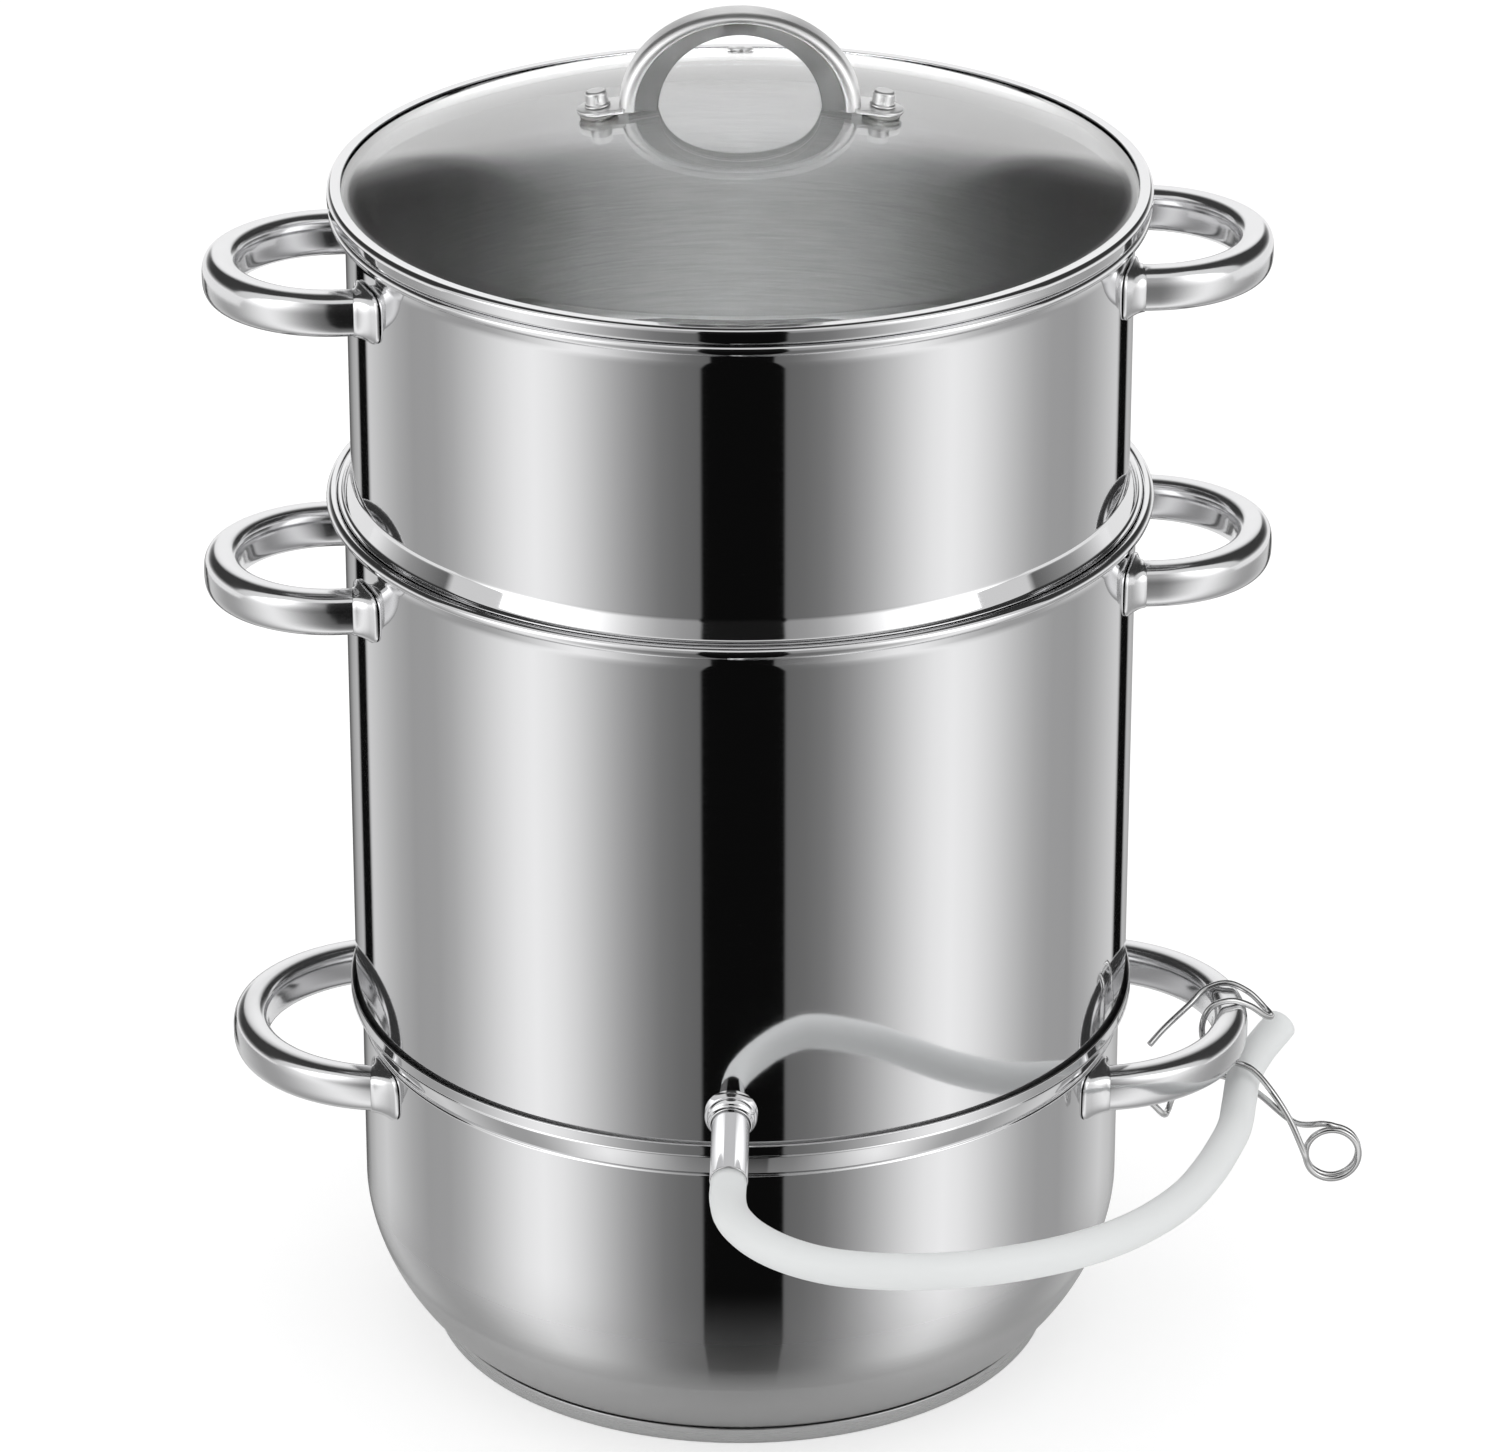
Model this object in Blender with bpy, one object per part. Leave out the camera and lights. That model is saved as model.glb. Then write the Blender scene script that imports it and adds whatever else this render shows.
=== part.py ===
# A three-tier steam juicer in polished stainless steel, built in metres with +Z up.
# The origin is the centre of the base, on the table. The spout faces -Y.
import math

import bpy
import bmesh
from mathutils import Matrix, Vector

# Sheet metal and fits
SHEET = 0.0008
GAP = 0.0003
SEAT_CLEARANCE = 0.0004
OVERRUN = 0.0040
WELD = 0.00002
ROUND_STEPS = 48
TRIM_STEPS = 96
CORNER_STEPS = 3
BEAD_STEPS = 5

# Water pan
PAN_RADIUS = 0.1290
PAN_CURVE_RADIUS = 0.0580
PAN_CURVE_HEIGHT = 0.0530
PAN_CREASE_HEIGHT = 0.1142
PAN_FLARE_HEIGHT = 0.0088
PAN_BAND_HEIGHT = 0.0041
PAN_FLARE = 0.0038
BASE_INSET = 0.0227
BASE_HEIGHT = 0.0060
BASE_CORNER = 0.0018
CORE_THICKNESS = 0.0042
PAN_CURVE_STEPS = 6

# Juice kettle, measured from the pan's wall and crease
KETTLE_OUT = 0.0020
KETTLE_FLOOR_DROP = 0.0062
KETTLE_FLOOR_CORNER = 0.0050
KETTLE_HEIGHT = 0.1818
KETTLE_MOUTH_HEIGHT = 0.0070
KETTLE_MOUTH_FLARE = 0.0024
KETTLE_BEAD = 0.0021

# Steam funnel inside the kettle
FUNNEL_FOOT_RADIUS = 0.0380
FUNNEL_FLANGE = 0.0050
FUNNEL_TOP_RADIUS = 0.0170
FUNNEL_HEADROOM = 0.0360
FUNNEL_COLLAR = 0.0120
FUNNEL_SPIGOT = 0.0015
FUNNEL_STEPS = 30

# Fruit basket, measured from the kettle's wall and mouth
BASKET_IN = 0.0025
BASKET_SKIRT_HEIGHT = 0.0084
BASKET_FLOOR_DROP = 0.0120
BASKET_FLOOR_CORNER = 0.0050
BASKET_HEIGHT = 0.0861
BASKET_MOUTH_HEIGHT = 0.0065
BASKET_MOUTH_FLARE = 0.0022
BASKET_BEAD = 0.0020
STEAM_HOLE_RADIUS = 0.0030
STEAM_HOLE_PITCH = 0.0210
STEAM_HOLE_RINGS = 4
STEAM_HOLE_SIDES = 6

# Glass lid
LID_BAND_OUT = 0.0003
LID_BAND_HEIGHT = 0.0054
LID_BAND_SHEET = 0.0006
LID_BAND_COVER = 0.0045
LID_SPIGOT_DEPTH = 0.0048
LID_SPIGOT_CLEARANCE = 0.0011
GLASS_THICKNESS = 0.0036
GLASS_RISE = 0.0260
GLASS_RINGS = 5
VENT_PLACE = 0.0880
VENT_BORE = 0.0015
VENT_RADIUS = 0.0030
VENT_FLANGE = 0.0044
VENT_SHEET = 0.0007

# Lid handle, a pressed channel bent into an arch
ARCH_RADIUS = 0.0390
ARCH_WIDTH = 0.0135
ARCH_DEPTH = 0.0126
ARCH_TOP_DEPTH = 0.0073
ARCH_SHEET = 0.0015
ARCH_LIFT = 0.0328
ARCH_STEPS = 14
FIXING_PLACE = 0.0456
TAB_WIDTH = 0.0140
SCREW_RADIUS = 0.0020
SCREW_HEAD_RADIUS = 0.0040
SCREW_HEAD_HEIGHT = 0.0020
SCREW_REACH = 0.0026
HOLE_CLEARANCE = 0.0005
WASHER_RADIUS = 0.0062
WASHER_THICKNESS = 0.0010
NUT_RADIUS = 0.0036
NUT_HEIGHT = 0.0050
NUT_BORE_DEPTH = 0.0034
SMALL_STEPS = 12

# Loop handles, an oval tube bent into a U
HANDLE_HEIGHT = 0.0145
HANDLE_THICKNESS = 0.0120
HANDLE_SIDES = 12
HANDLE_STEPS = 10
SIDE_HANDLE_HALF_WIDTH = 0.0370
SIDE_HANDLE_REACH = 0.0468
PAN_HANDLE_HALF_WIDTH = 0.0490
PAN_HANDLE_REACH = 0.0445
PAN_HANDLE_DROP = 0.0094
KETTLE_HANDLE_DROP = 0.0165
BASKET_HANDLE_DROP = 0.0137
PAD_THICKNESS = 0.0018
PAD_HEIGHT = 0.0177
PAD_MARGIN = 0.0030
PAD_CORNER = 0.0040
PAD_CORNER_STEPS = 3
PAD_STEPS = 4
UPPER_TURN = 5.0

# Spout
SPOUT_RISE = 0.0290
SPOUT_TURN = -1.3
SPOUT_TILT = 14.0
SPOUT_LENGTH = 0.0310
SPOUT_RADIUS = 0.0062
SPOUT_BORE = 0.0048
SPOUT_INSIDE = 0.0030
COLLAR_RADIUS = 0.0086
COLLAR_NECK = 0.0073
COLLAR_LENGTH = 0.0060
COLLAR_FLANGE = 0.0022
SPOUT_STEPS = 16

# Juice hose
HOSE_RADIUS = 0.0059
HOSE_POINTS = 48
HOSE_LEAD = 0.0090
# Places of the hose: a share of the quarter turn from straight ahead to the pan's right handle,
# a share of that handle's reach out from the pan, and of its height above its middle.
HOSE_SHARES = (
    (-0.0071, 1.1463, 1.4621),
    (0.0150, 1.3944, 1.3931),
    (0.0475, 1.6193, 1.3448),
    (0.0884, 1.8094, 1.3241),
    (0.1402, 1.9370, 1.2966),
    (0.1941, 1.9660, 1.1862),
    (0.2554, 1.9344, 1.0138),
    (0.3234, 1.8593, 0.7931),
    (0.3967, 1.7223, 0.4966),
    (0.4727, 1.5544, 0.1862),
    (0.5569, 1.3767, -0.1241),
    (0.6470, 1.1982, -0.4345),
    (0.7403, 1.0669, -0.7448),
    (0.8324, 0.9878, -1.1241),
    (0.9181, 0.9532, -1.3103),
    (0.9889, 0.9849, -1.3241),
    (1.0427, 1.1214, -1.1931),
    (1.0813, 1.3334, -0.8966),
)

# Wire clamp that holds the hose on the pan handle
WIRE_RADIUS = 0.0011
WIRE_CLEARANCE = 0.0004
COIL_RADIUS = 0.0090
COIL_PITCH = 0.0027
COIL_OUT = 0.0350
COIL_FRONT = 0.0190
COIL_DROP = 0.0405
COIL_LEG_ANGLE = 195.0
COIL_TURNS = 1.68
COIL_POINTS = 22
HOOK_WIDTH = 0.0100
HOOK_POINTS = 54
JAW_POINTS = 34
# Places of the wires from the middle of the handle's bar: out, back and up.
# Out and up are shares of the bar's half size with the wire on it, back of the hook's width.
HOOK_SHARES = (
    (2.67, -1.95, -3.14),
    (1.80, -1.70, -2.00),
    (0.93, -1.30, -1.30),
    (0.00, -1.00, -1.11),
    (-0.96, -0.70, -0.95),
    (-1.31, -0.50, 0.00),
    (-0.93, -0.30, 0.80),
    (0.00, -0.10, 1.00),
    (0.93, 0.08, 0.66),
    (1.67, 0.30, 0.09),
    (1.96, 0.62, -0.09),
    (1.67, 0.95, 0.09),
    (0.93, 1.15, 0.66),
    (-0.07, 1.25, 1.00),
    (-1.07, 1.20, 0.74),
    (-1.80, 0.80, 0.29),
    (-3.00, 0.00, -0.29),
    (-3.67, -0.50, -0.69),
)
JAW_SHARES = (
    (3.00, -1.05, -3.79),
    (1.43, 0.50, -3.43),
    (0.07, 1.10, -3.09),
    (-1.40, 1.00, -2.86),
    (-2.33, 0.60, -3.43),
    (-2.71, 0.10, -3.94),
    (-2.93, -0.40, -3.83),
    (-3.40, -0.50, -3.37),
    (-3.93, -0.50, -2.91),
)

# Radii and heights that follow, tier by tier
PAN_BAND_FOOT = PAN_CREASE_HEIGHT + PAN_FLARE_HEIGHT
PAN_RIM_HEIGHT = PAN_BAND_FOOT + PAN_BAND_HEIGHT
BASE_RADIUS = PAN_RADIUS - BASE_INSET
PAN_HANDLE_LEVEL = PAN_CREASE_HEIGHT - PAN_HANDLE_DROP
KETTLE_RADIUS = PAN_RADIUS + KETTLE_OUT
KETTLE_FLOOR = PAN_CREASE_HEIGHT - KETTLE_FLOOR_DROP
KETTLE_MOUTH_FOOT = PAN_CREASE_HEIGHT + KETTLE_HEIGHT
KETTLE_MOUTH_TOP = KETTLE_MOUTH_FOOT + KETTLE_MOUTH_HEIGHT
KETTLE_HANDLE_LEVEL = KETTLE_MOUTH_FOOT - KETTLE_HANDLE_DROP
SPOUT_LEVEL = KETTLE_FLOOR + SPOUT_RISE
BASKET_RADIUS = KETTLE_RADIUS - BASKET_IN
BASKET_FLOOR = KETTLE_MOUTH_FOOT - BASKET_FLOOR_DROP
BASKET_CREASE_HEIGHT = KETTLE_MOUTH_TOP + BASKET_SKIRT_HEIGHT
BASKET_MOUTH_FOOT = BASKET_CREASE_HEIGHT + BASKET_HEIGHT
BASKET_MOUTH_TOP = BASKET_MOUTH_FOOT + BASKET_MOUTH_HEIGHT
BASKET_HANDLE_LEVEL = BASKET_MOUTH_FOOT - BASKET_HANDLE_DROP


def clear_scene():
    for thing in list(bpy.data.objects):
        bpy.data.objects.remove(thing, do_unlink=True)


def make_material(name, colour, metallic, roughness, transmission=0.0):
    material = bpy.data.materials.new(name)
    material.use_nodes = True
    surface = material.node_tree.nodes["Principled BSDF"]
    surface.inputs["Base Color"].default_value = (*colour, 1.0)
    surface.inputs["Metallic"].default_value = metallic
    surface.inputs["Roughness"].default_value = roughness
    surface.inputs["Transmission Weight"].default_value = transmission
    return material


def finish_mesh(name, bm, material, parent=None, sharp=30.0):
    mesh = bpy.data.meshes.new(name)
    bm.to_mesh(mesh)
    bm.free()
    mesh.shade_smooth()
    mesh.set_sharp_from_angle(angle=math.radians(sharp))
    mesh.materials.append(material)
    thing = bpy.data.objects.new(name, mesh)
    bpy.context.scene.collection.objects.link(thing)
    thing.parent = parent
    return thing


def turned(name, outline, material, parent=None, steps=ROUND_STEPS):
    # Turns a closed outline of (radius, height) pairs about Z. Ends on the axis are welded shut.
    bm = bmesh.new()
    verts = [bm.verts.new((radius, 0.0, height)) for radius, height in outline]
    pairs = list(zip(verts, verts[1:]))
    if outline[0][0] > 0.0:
        pairs.append((verts[-1], verts[0]))
    edges = [bm.edges.new(pair) for pair in pairs]
    bmesh.ops.spin(bm, geom=verts + edges, axis=(0, 0, 1), cent=(0, 0, 0),
                   angle=math.tau, steps=steps, use_merge=True)
    bmesh.ops.remove_doubles(bm, verts=bm.verts, dist=WELD)
    bmesh.ops.recalc_face_normals(bm, faces=bm.faces)
    return finish_mesh(name, bm, material, parent)


def arc(centre_radius, centre_height, radius, start, end, steps):
    points = []
    for step in range(steps + 1):
        angle = math.radians(start + (end - start) * step / steps)
        points.append((centre_radius + radius * math.cos(angle),
                       centre_height + radius * math.sin(angle)))
    return points


def modify(thing, kind, operation, other):
    modifier = thing.modifiers.new(operation.title(), kind)
    modifier.operation = operation
    modifier.solver = "EXACT"
    modifier.object = other
    other.hide_render = True
    other.display_type = "WIRE"


def bake(thing):
    # Applies the modifiers, so that the helpers they use can go.
    graph = bpy.context.evaluated_depsgraph_get()
    mesh = bpy.data.meshes.new_from_object(thing.evaluated_get(graph))
    thing.modifiers.clear()
    thing.data = mesh
    mesh.name = thing.name
    return thing


def cut(thing, cutter):
    modify(thing, "BOOLEAN", "DIFFERENCE", cutter)
    bake(thing)
    bpy.data.objects.remove(cutter, do_unlink=True)


def fuse(thing, other):
    modify(thing, "BOOLEAN", "UNION", other)
    bake(thing)
    bpy.data.objects.remove(other, do_unlink=True)


def rod(name, radius, start, end, material, sides=SMALL_STEPS):
    # A plain round bar between two points.
    run = Vector(end) - Vector(start)
    bm = bmesh.new()
    bmesh.ops.create_cone(bm, cap_ends=True, segments=sides, radius1=radius, radius2=radius,
                          depth=run.length)
    place = Matrix.Translation((Vector(start) + Vector(end)) / 2)
    turn = run.to_track_quat("Z", "Y").to_matrix().to_4x4()
    bmesh.ops.transform(bm, matrix=place @ turn, verts=bm.verts)
    return finish_mesh(name, bm, material)


def pan_wall_outline():
    # The outside, from the axis out along the bottom and up to the rim, then the inside back down.
    centre = PAN_RADIUS - PAN_CURVE_RADIUS
    floor = BASE_HEIGHT + GAP

    def side(inset):
        radius = PAN_CURVE_RADIUS - inset
        drop = math.degrees(math.asin((PAN_CURVE_HEIGHT - floor - inset) / radius))
        points = arc(centre, PAN_CURVE_HEIGHT, radius, -drop, 0.0, PAN_CURVE_STEPS)
        points.append((PAN_RADIUS - inset, PAN_CREASE_HEIGHT))
        points.append((PAN_RADIUS + PAN_FLARE - inset, PAN_BAND_FOOT))
        points.append((PAN_RADIUS + PAN_FLARE - inset, PAN_RIM_HEIGHT))
        return points

    outside = [(0.0, floor)] + side(0.0)
    inside = [(0.0, floor + SHEET)] + side(SHEET)
    return outside + inside[::-1]


def pan_lip_radius(height):
    # The inner face of the flared lip at a height.
    share = (height - PAN_CREASE_HEIGHT) / (PAN_BAND_FOOT - PAN_CREASE_HEIGHT)
    return PAN_RADIUS - SHEET + PAN_FLARE * share


def kettle_neck_radius():
    return pan_lip_radius(PAN_CREASE_HEIGHT) - SEAT_CLEARANCE


def kettle_shoulder_height():
    # Where the seat's cone reaches the kettle's wall.
    slope = (PAN_BAND_FOOT - PAN_CREASE_HEIGHT) / PAN_FLARE
    return PAN_CREASE_HEIGHT + (KETTLE_RADIUS - kettle_neck_radius()) * slope


def bead(radius, height, size, sheet):
    # A rolled edge on the outer side of a flared mouth, from its foot outside to its foot inside.
    centre = radius + size - sheet
    return arc(centre, height, size, -120.0, 180.0, BEAD_STEPS)


def vessel_outline(radius, floor, corner, neck, seat, mouth_foot, mouth_top, flare, size, hole=0.0):
    # A straight wall with a stepped foot below and a flared, rolled mouth above.
    def shell(inset, start):
        turn = corner - inset
        points = [(start, floor + inset)]
        points += arc(neck - corner, floor + corner, turn, -90.0, 0.0, CORNER_STEPS)
        points += [(place - inset, height) for place, height in seat]
        points.append((radius - inset, mouth_foot))
        return points

    outside = shell(0.0, hole)
    inside = shell(SHEET, hole)
    roll = bead(radius + flare, mouth_top, size, SHEET)
    return outside + roll + inside[::-1]


def kettle_outline():
    seat = [
        (kettle_neck_radius(), PAN_CREASE_HEIGHT),
        (KETTLE_RADIUS, kettle_shoulder_height()),
    ]
    return vessel_outline(KETTLE_RADIUS, KETTLE_FLOOR, KETTLE_FLOOR_CORNER, kettle_neck_radius(),
                          seat, KETTLE_MOUTH_FOOT, KETTLE_MOUTH_TOP, KETTLE_MOUTH_FLARE,
                          KETTLE_BEAD, hole=FUNNEL_FOOT_RADIUS + GAP)


def basket_neck_radius():
    return KETTLE_RADIUS - SHEET - SEAT_CLEARANCE


def basket_outline():
    seat = [
        (basket_neck_radius(), KETTLE_MOUTH_FOOT),
        (basket_neck_radius() + KETTLE_MOUTH_FLARE, KETTLE_MOUTH_TOP),
        (BASKET_RADIUS, BASKET_CREASE_HEIGHT),
    ]
    return vessel_outline(BASKET_RADIUS, BASKET_FLOOR, BASKET_FLOOR_CORNER, basket_neck_radius(),
                          seat, BASKET_MOUTH_FOOT, BASKET_MOUTH_TOP, BASKET_MOUTH_FLARE,
                          BASKET_BEAD)


def make_pan(steel, base_steel, aluminium):
    turned("pan_body", pan_wall_outline(), steel)
    core_foot = SHEET + GAP
    core_radius = BASE_RADIUS - SHEET - GAP
    turned("pan_base_core", [
        (0.0, core_foot),
        (core_radius - BASE_CORNER, core_foot),
        (core_radius, core_foot + BASE_CORNER),
        (core_radius, core_foot + CORE_THICKNESS),
        (0.0, core_foot + CORE_THICKNESS),
    ], aluminium)
    foot = BASE_RADIUS - BASE_CORNER
    turned("pan_base_cap", [(0.0, 0.0)]
           + arc(foot, BASE_CORNER, BASE_CORNER, -90.0, 0.0, 3)
           + [(BASE_RADIUS, BASE_HEIGHT), (BASE_RADIUS - SHEET, BASE_HEIGHT)]
           + arc(foot, BASE_CORNER, BASE_CORNER - SHEET, 0.0, -90.0, 3)
           + [(0.0, SHEET)], base_steel)


def make_kettle(steel):
    kettle = turned("kettle_body", kettle_outline(), steel)
    place, run = spout_axis()
    bore = rod("spout_hole", SPOUT_RADIUS + GAP, place - run * OVERRUN, place + run * OVERRUN,
               steel, SPOUT_STEPS)
    cut(kettle, bore)


def make_funnel(steel):
    # A steam chimney with a spigot through the floor's hole and a flange on the floor.
    flange_foot = KETTLE_FLOOR + SHEET + GAP
    top = BASKET_FLOOR - FUNNEL_HEADROOM
    outer = [
        (FUNNEL_FOOT_RADIUS, KETTLE_FLOOR - FUNNEL_SPIGOT),
        (FUNNEL_FOOT_RADIUS, flange_foot),
        (FUNNEL_FOOT_RADIUS + FUNNEL_FLANGE, flange_foot),
        (FUNNEL_FOOT_RADIUS + FUNNEL_FLANGE, flange_foot + SHEET),
        (FUNNEL_FOOT_RADIUS, flange_foot + SHEET),
        (FUNNEL_TOP_RADIUS, top - FUNNEL_COLLAR),
        (FUNNEL_TOP_RADIUS, top),
    ]
    inner = [
        (FUNNEL_TOP_RADIUS - SHEET, top),
        (FUNNEL_TOP_RADIUS - SHEET, top - FUNNEL_COLLAR),
        (FUNNEL_FOOT_RADIUS - SHEET, flange_foot + SHEET),
        (FUNNEL_FOOT_RADIUS - SHEET, KETTLE_FLOOR - FUNNEL_SPIGOT),
    ]
    turned("kettle_steam_funnel", outer + inner, steel, steps=FUNNEL_STEPS)


def steam_hole_cutter(material):
    # One hole in the middle and six more in each ring further out.
    bm = bmesh.new()
    for ring in range(STEAM_HOLE_RINGS + 1):
        count = max(1, 6 * ring)
        for index in range(count):
            angle = math.tau * index / count
            place = Matrix.Translation((
                STEAM_HOLE_PITCH * ring * math.cos(angle),
                STEAM_HOLE_PITCH * ring * math.sin(angle),
                BASKET_FLOOR,
            ))
            bmesh.ops.create_cone(bm, cap_ends=True, segments=STEAM_HOLE_SIDES,
                                  radius1=STEAM_HOLE_RADIUS, radius2=STEAM_HOLE_RADIUS,
                                  depth=OVERRUN, matrix=place)
    return finish_mesh("steam_holes", bm, material)


def make_basket(steel):
    basket = turned("basket_body", basket_outline(), steel)
    cut(basket, steam_hole_cutter(steel))


def handle_axis_radius(wall, reach, half_width):
    # The centre of the U's bend, measured from the vessel's axis.
    return wall + reach - HANDLE_THICKNESS / 2 - half_width


def pad_face(wall):
    return wall + GAP + PAD_THICKNESS


def loop_handle(name, wall, reach, half_width, level, turn, steel):
    bend = handle_axis_radius(wall, reach, half_width)
    root = math.sqrt(wall ** 2 - (half_width + HANDLE_THICKNESS / 2) ** 2) - OVERRUN
    bm = bmesh.new()
    bmesh.ops.create_circle(bm, segments=HANDLE_SIDES, radius=HANDLE_THICKNESS / 2)
    height_share = HANDLE_HEIGHT / HANDLE_THICKNESS
    stand = Matrix.Rotation(math.radians(90.0), 4, "Y") @ Matrix.Diagonal((height_share, 1.0, 1.0, 1.0))
    place = Matrix.Translation((root, -half_width, 0.0))
    bmesh.ops.transform(bm, matrix=place @ stand, verts=bm.verts)
    ring = list(bm.edges)

    def extend(edges, run):
        made = bmesh.ops.extrude_edge_only(bm, edges=edges)["geom"]
        verts = [item for item in made if isinstance(item, bmesh.types.BMVert)]
        bmesh.ops.translate(bm, vec=run, verts=verts)
        return [item for item in made if isinstance(item, bmesh.types.BMEdge)
                and len(item.link_faces) == 1]

    bmesh.ops.contextual_create(bm, geom=ring)
    front = extend(ring, (bend - root, 0.0, 0.0))
    geometry = front + list({vert for edge in front for vert in edge.verts})
    spun = bmesh.ops.spin(bm, geom=geometry, axis=(0, 0, 1), cent=(bend, 0.0, 0.0),
                          angle=math.pi, steps=HANDLE_STEPS)["geom_last"]
    back = [item for item in spun if isinstance(item, bmesh.types.BMEdge)]
    last = extend(back, (root - bend, 0.0, 0.0))
    bmesh.ops.contextual_create(bm, geom=last)
    bmesh.ops.remove_doubles(bm, verts=bm.verts, dist=WELD)
    bmesh.ops.recalc_face_normals(bm, faces=bm.faces)
    handle = finish_mesh(name, bm, steel)
    handle.location = (0.0, 0.0, level)
    handle.rotation_euler = (0.0, 0.0, math.radians(turn))
    core = rod("handle_trim", pad_face(wall) + GAP, (0.0, 0.0, level - HANDLE_HEIGHT),
               (0.0, 0.0, level + HANDLE_HEIGHT), steel, TRIM_STEPS)
    bpy.context.view_layer.update()
    cut(handle, core)
    return handle


def is_pad_corner(edge):
    # A corner of the plate's outline runs straight out from the wall, where three edges meet.
    near, far = (vert.co for vert in edge.verts)
    level = abs(near.z - far.z) < WELD
    outwards = abs(near.to_2d().normalized().cross(far.to_2d().normalized())) < WELD
    return level and outwards and all(len(vert.link_edges) == 3 for vert in edge.verts)


def wall_pad(name, wall, half_width, level, turn, steel):
    # A curved plate that hugs the wall under one leg of a handle.
    inner = wall + GAP
    height = PAD_HEIGHT / 2
    bm = bmesh.new()
    corners = [(inner, -height), (inner + PAD_THICKNESS, -height),
               (inner + PAD_THICKNESS, height), (inner, height)]
    verts = [bm.verts.new((radius, 0.0, z)) for radius, z in corners]
    face = bm.faces.new(verts)
    near = math.asin((half_width - HANDLE_THICKNESS / 2 - PAD_MARGIN) / wall)
    far = math.asin((half_width + HANDLE_THICKNESS / 2 + PAD_MARGIN) / wall)
    bmesh.ops.rotate(bm, cent=(0, 0, 0), matrix=Matrix.Rotation(near, 3, "Z"), verts=bm.verts)
    bmesh.ops.spin(bm, geom=[face], axis=(0, 0, 1), cent=(0, 0, 0), angle=far - near,
                   steps=PAD_STEPS)
    bmesh.ops.remove_doubles(bm, verts=bm.verts, dist=WELD)
    rounded = [edge for edge in bm.edges if is_pad_corner(edge)]
    bmesh.ops.bevel(bm, geom=rounded, offset=PAD_CORNER, offset_type="OFFSET", affect="EDGES",
                    segments=PAD_CORNER_STEPS, profile=0.5, material=-1)
    bmesh.ops.recalc_face_normals(bm, faces=bm.faces)
    pad = finish_mesh(name, bm, steel)
    pad.location = (0.0, 0.0, level)
    pad.rotation_euler = (0.0, 0.0, math.radians(turn))
    return pad


def make_handles(tier, wall, reach, half_width, level, turn, steel):
    pad_span = math.degrees(math.asin((half_width - HANDLE_THICKNESS / 2 - PAD_MARGIN) / wall)
                            + math.asin((half_width + HANDLE_THICKNESS / 2 + PAD_MARGIN) / wall))
    for side, facing in (("right", turn), ("left", turn + 180.0)):
        loop_handle(f"{tier}_handle_{side}", wall, reach, half_width, level, facing, steel)
        # The pad is made on one side, and the other is the same plate turned across the handle.
        places = {"far": facing, "near": facing - pad_span}
        if side == "left":
            places = {"near": facing, "far": facing - pad_span}
        for end, angle in places.items():
            wall_pad(f"{tier}_bracket_{side}_{end}", wall, half_width, level, angle, steel)


def spout_axis():
    # The spout's root on the kettle's wall and its direction, outwards and down.
    turn = math.radians(SPOUT_TURN)
    tilt = math.radians(SPOUT_TILT)
    out = Vector((math.sin(turn), -math.cos(turn), 0.0))
    root = out * KETTLE_RADIUS + Vector((0.0, 0.0, SPOUT_LEVEL))
    run = out * math.cos(tilt) - Vector((0.0, 0.0, math.sin(tilt)))
    return root, run


def place_on_spout(thing):
    root, run = spout_axis()
    thing.matrix_world = Matrix.Translation(root) @ run.to_track_quat("Z", "Y").to_matrix().to_4x4()
    bpy.context.view_layer.update()


def make_spout(steel):
    tube = turned("spout_tube", [
        (SPOUT_BORE, -SPOUT_INSIDE),
        (SPOUT_RADIUS, -SPOUT_INSIDE),
        (SPOUT_RADIUS, SPOUT_LENGTH),
        (SPOUT_BORE, SPOUT_LENGTH),
    ], steel, steps=SPOUT_STEPS)
    place_on_spout(tube)
    bore = SPOUT_RADIUS + GAP
    collar = turned("spout_collar", [
        (bore, -OVERRUN),
        (COLLAR_RADIUS, -OVERRUN),
        (COLLAR_RADIUS, COLLAR_FLANGE),
        (COLLAR_NECK, COLLAR_FLANGE + (COLLAR_RADIUS - COLLAR_NECK)),
        (COLLAR_NECK, COLLAR_LENGTH),
        (bore, COLLAR_LENGTH),
    ], steel, steps=SPOUT_STEPS)
    place_on_spout(collar)
    wall = rod("collar_trim", KETTLE_RADIUS + GAP, (0.0, 0.0, SPOUT_LEVEL - COLLAR_RADIUS * 2),
               (0.0, 0.0, SPOUT_LEVEL + COLLAR_RADIUS * 2), steel, TRIM_STEPS)
    cut(collar, wall)


def smooth_path(points, count):
    # Evenly spaced points on a Catmull-Rom curve through the chosen ones.
    knots = [points[0] * 2 - points[1]] + list(points) + [points[-1] * 2 - points[-2]]
    fine = []
    for index in range(1, len(knots) - 2):
        a, b, c, d = knots[index - 1:index + 3]
        for step in range(16):
            t = step / 16
            fine.append((b * 2 + (c - a) * t + (a * 2 - b * 5 + c * 4 - d) * t ** 2
                         + (b * 3 - a - c * 3 + d) * t ** 3) / 2)
    fine.append(knots[-2])
    lengths = [0.0]
    for near, far in zip(fine, fine[1:]):
        lengths.append(lengths[-1] + (far - near).length)
    path = []
    index = 0
    for number in range(count):
        goal = lengths[-1] * number / (count - 1)
        while index < len(fine) - 2 and lengths[index + 1] < goal:
            index += 1
        share = (goal - lengths[index]) / (lengths[index + 1] - lengths[index])
        path.append(fine[index].lerp(fine[index + 1], share))
    return path, lengths[-1]


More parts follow.
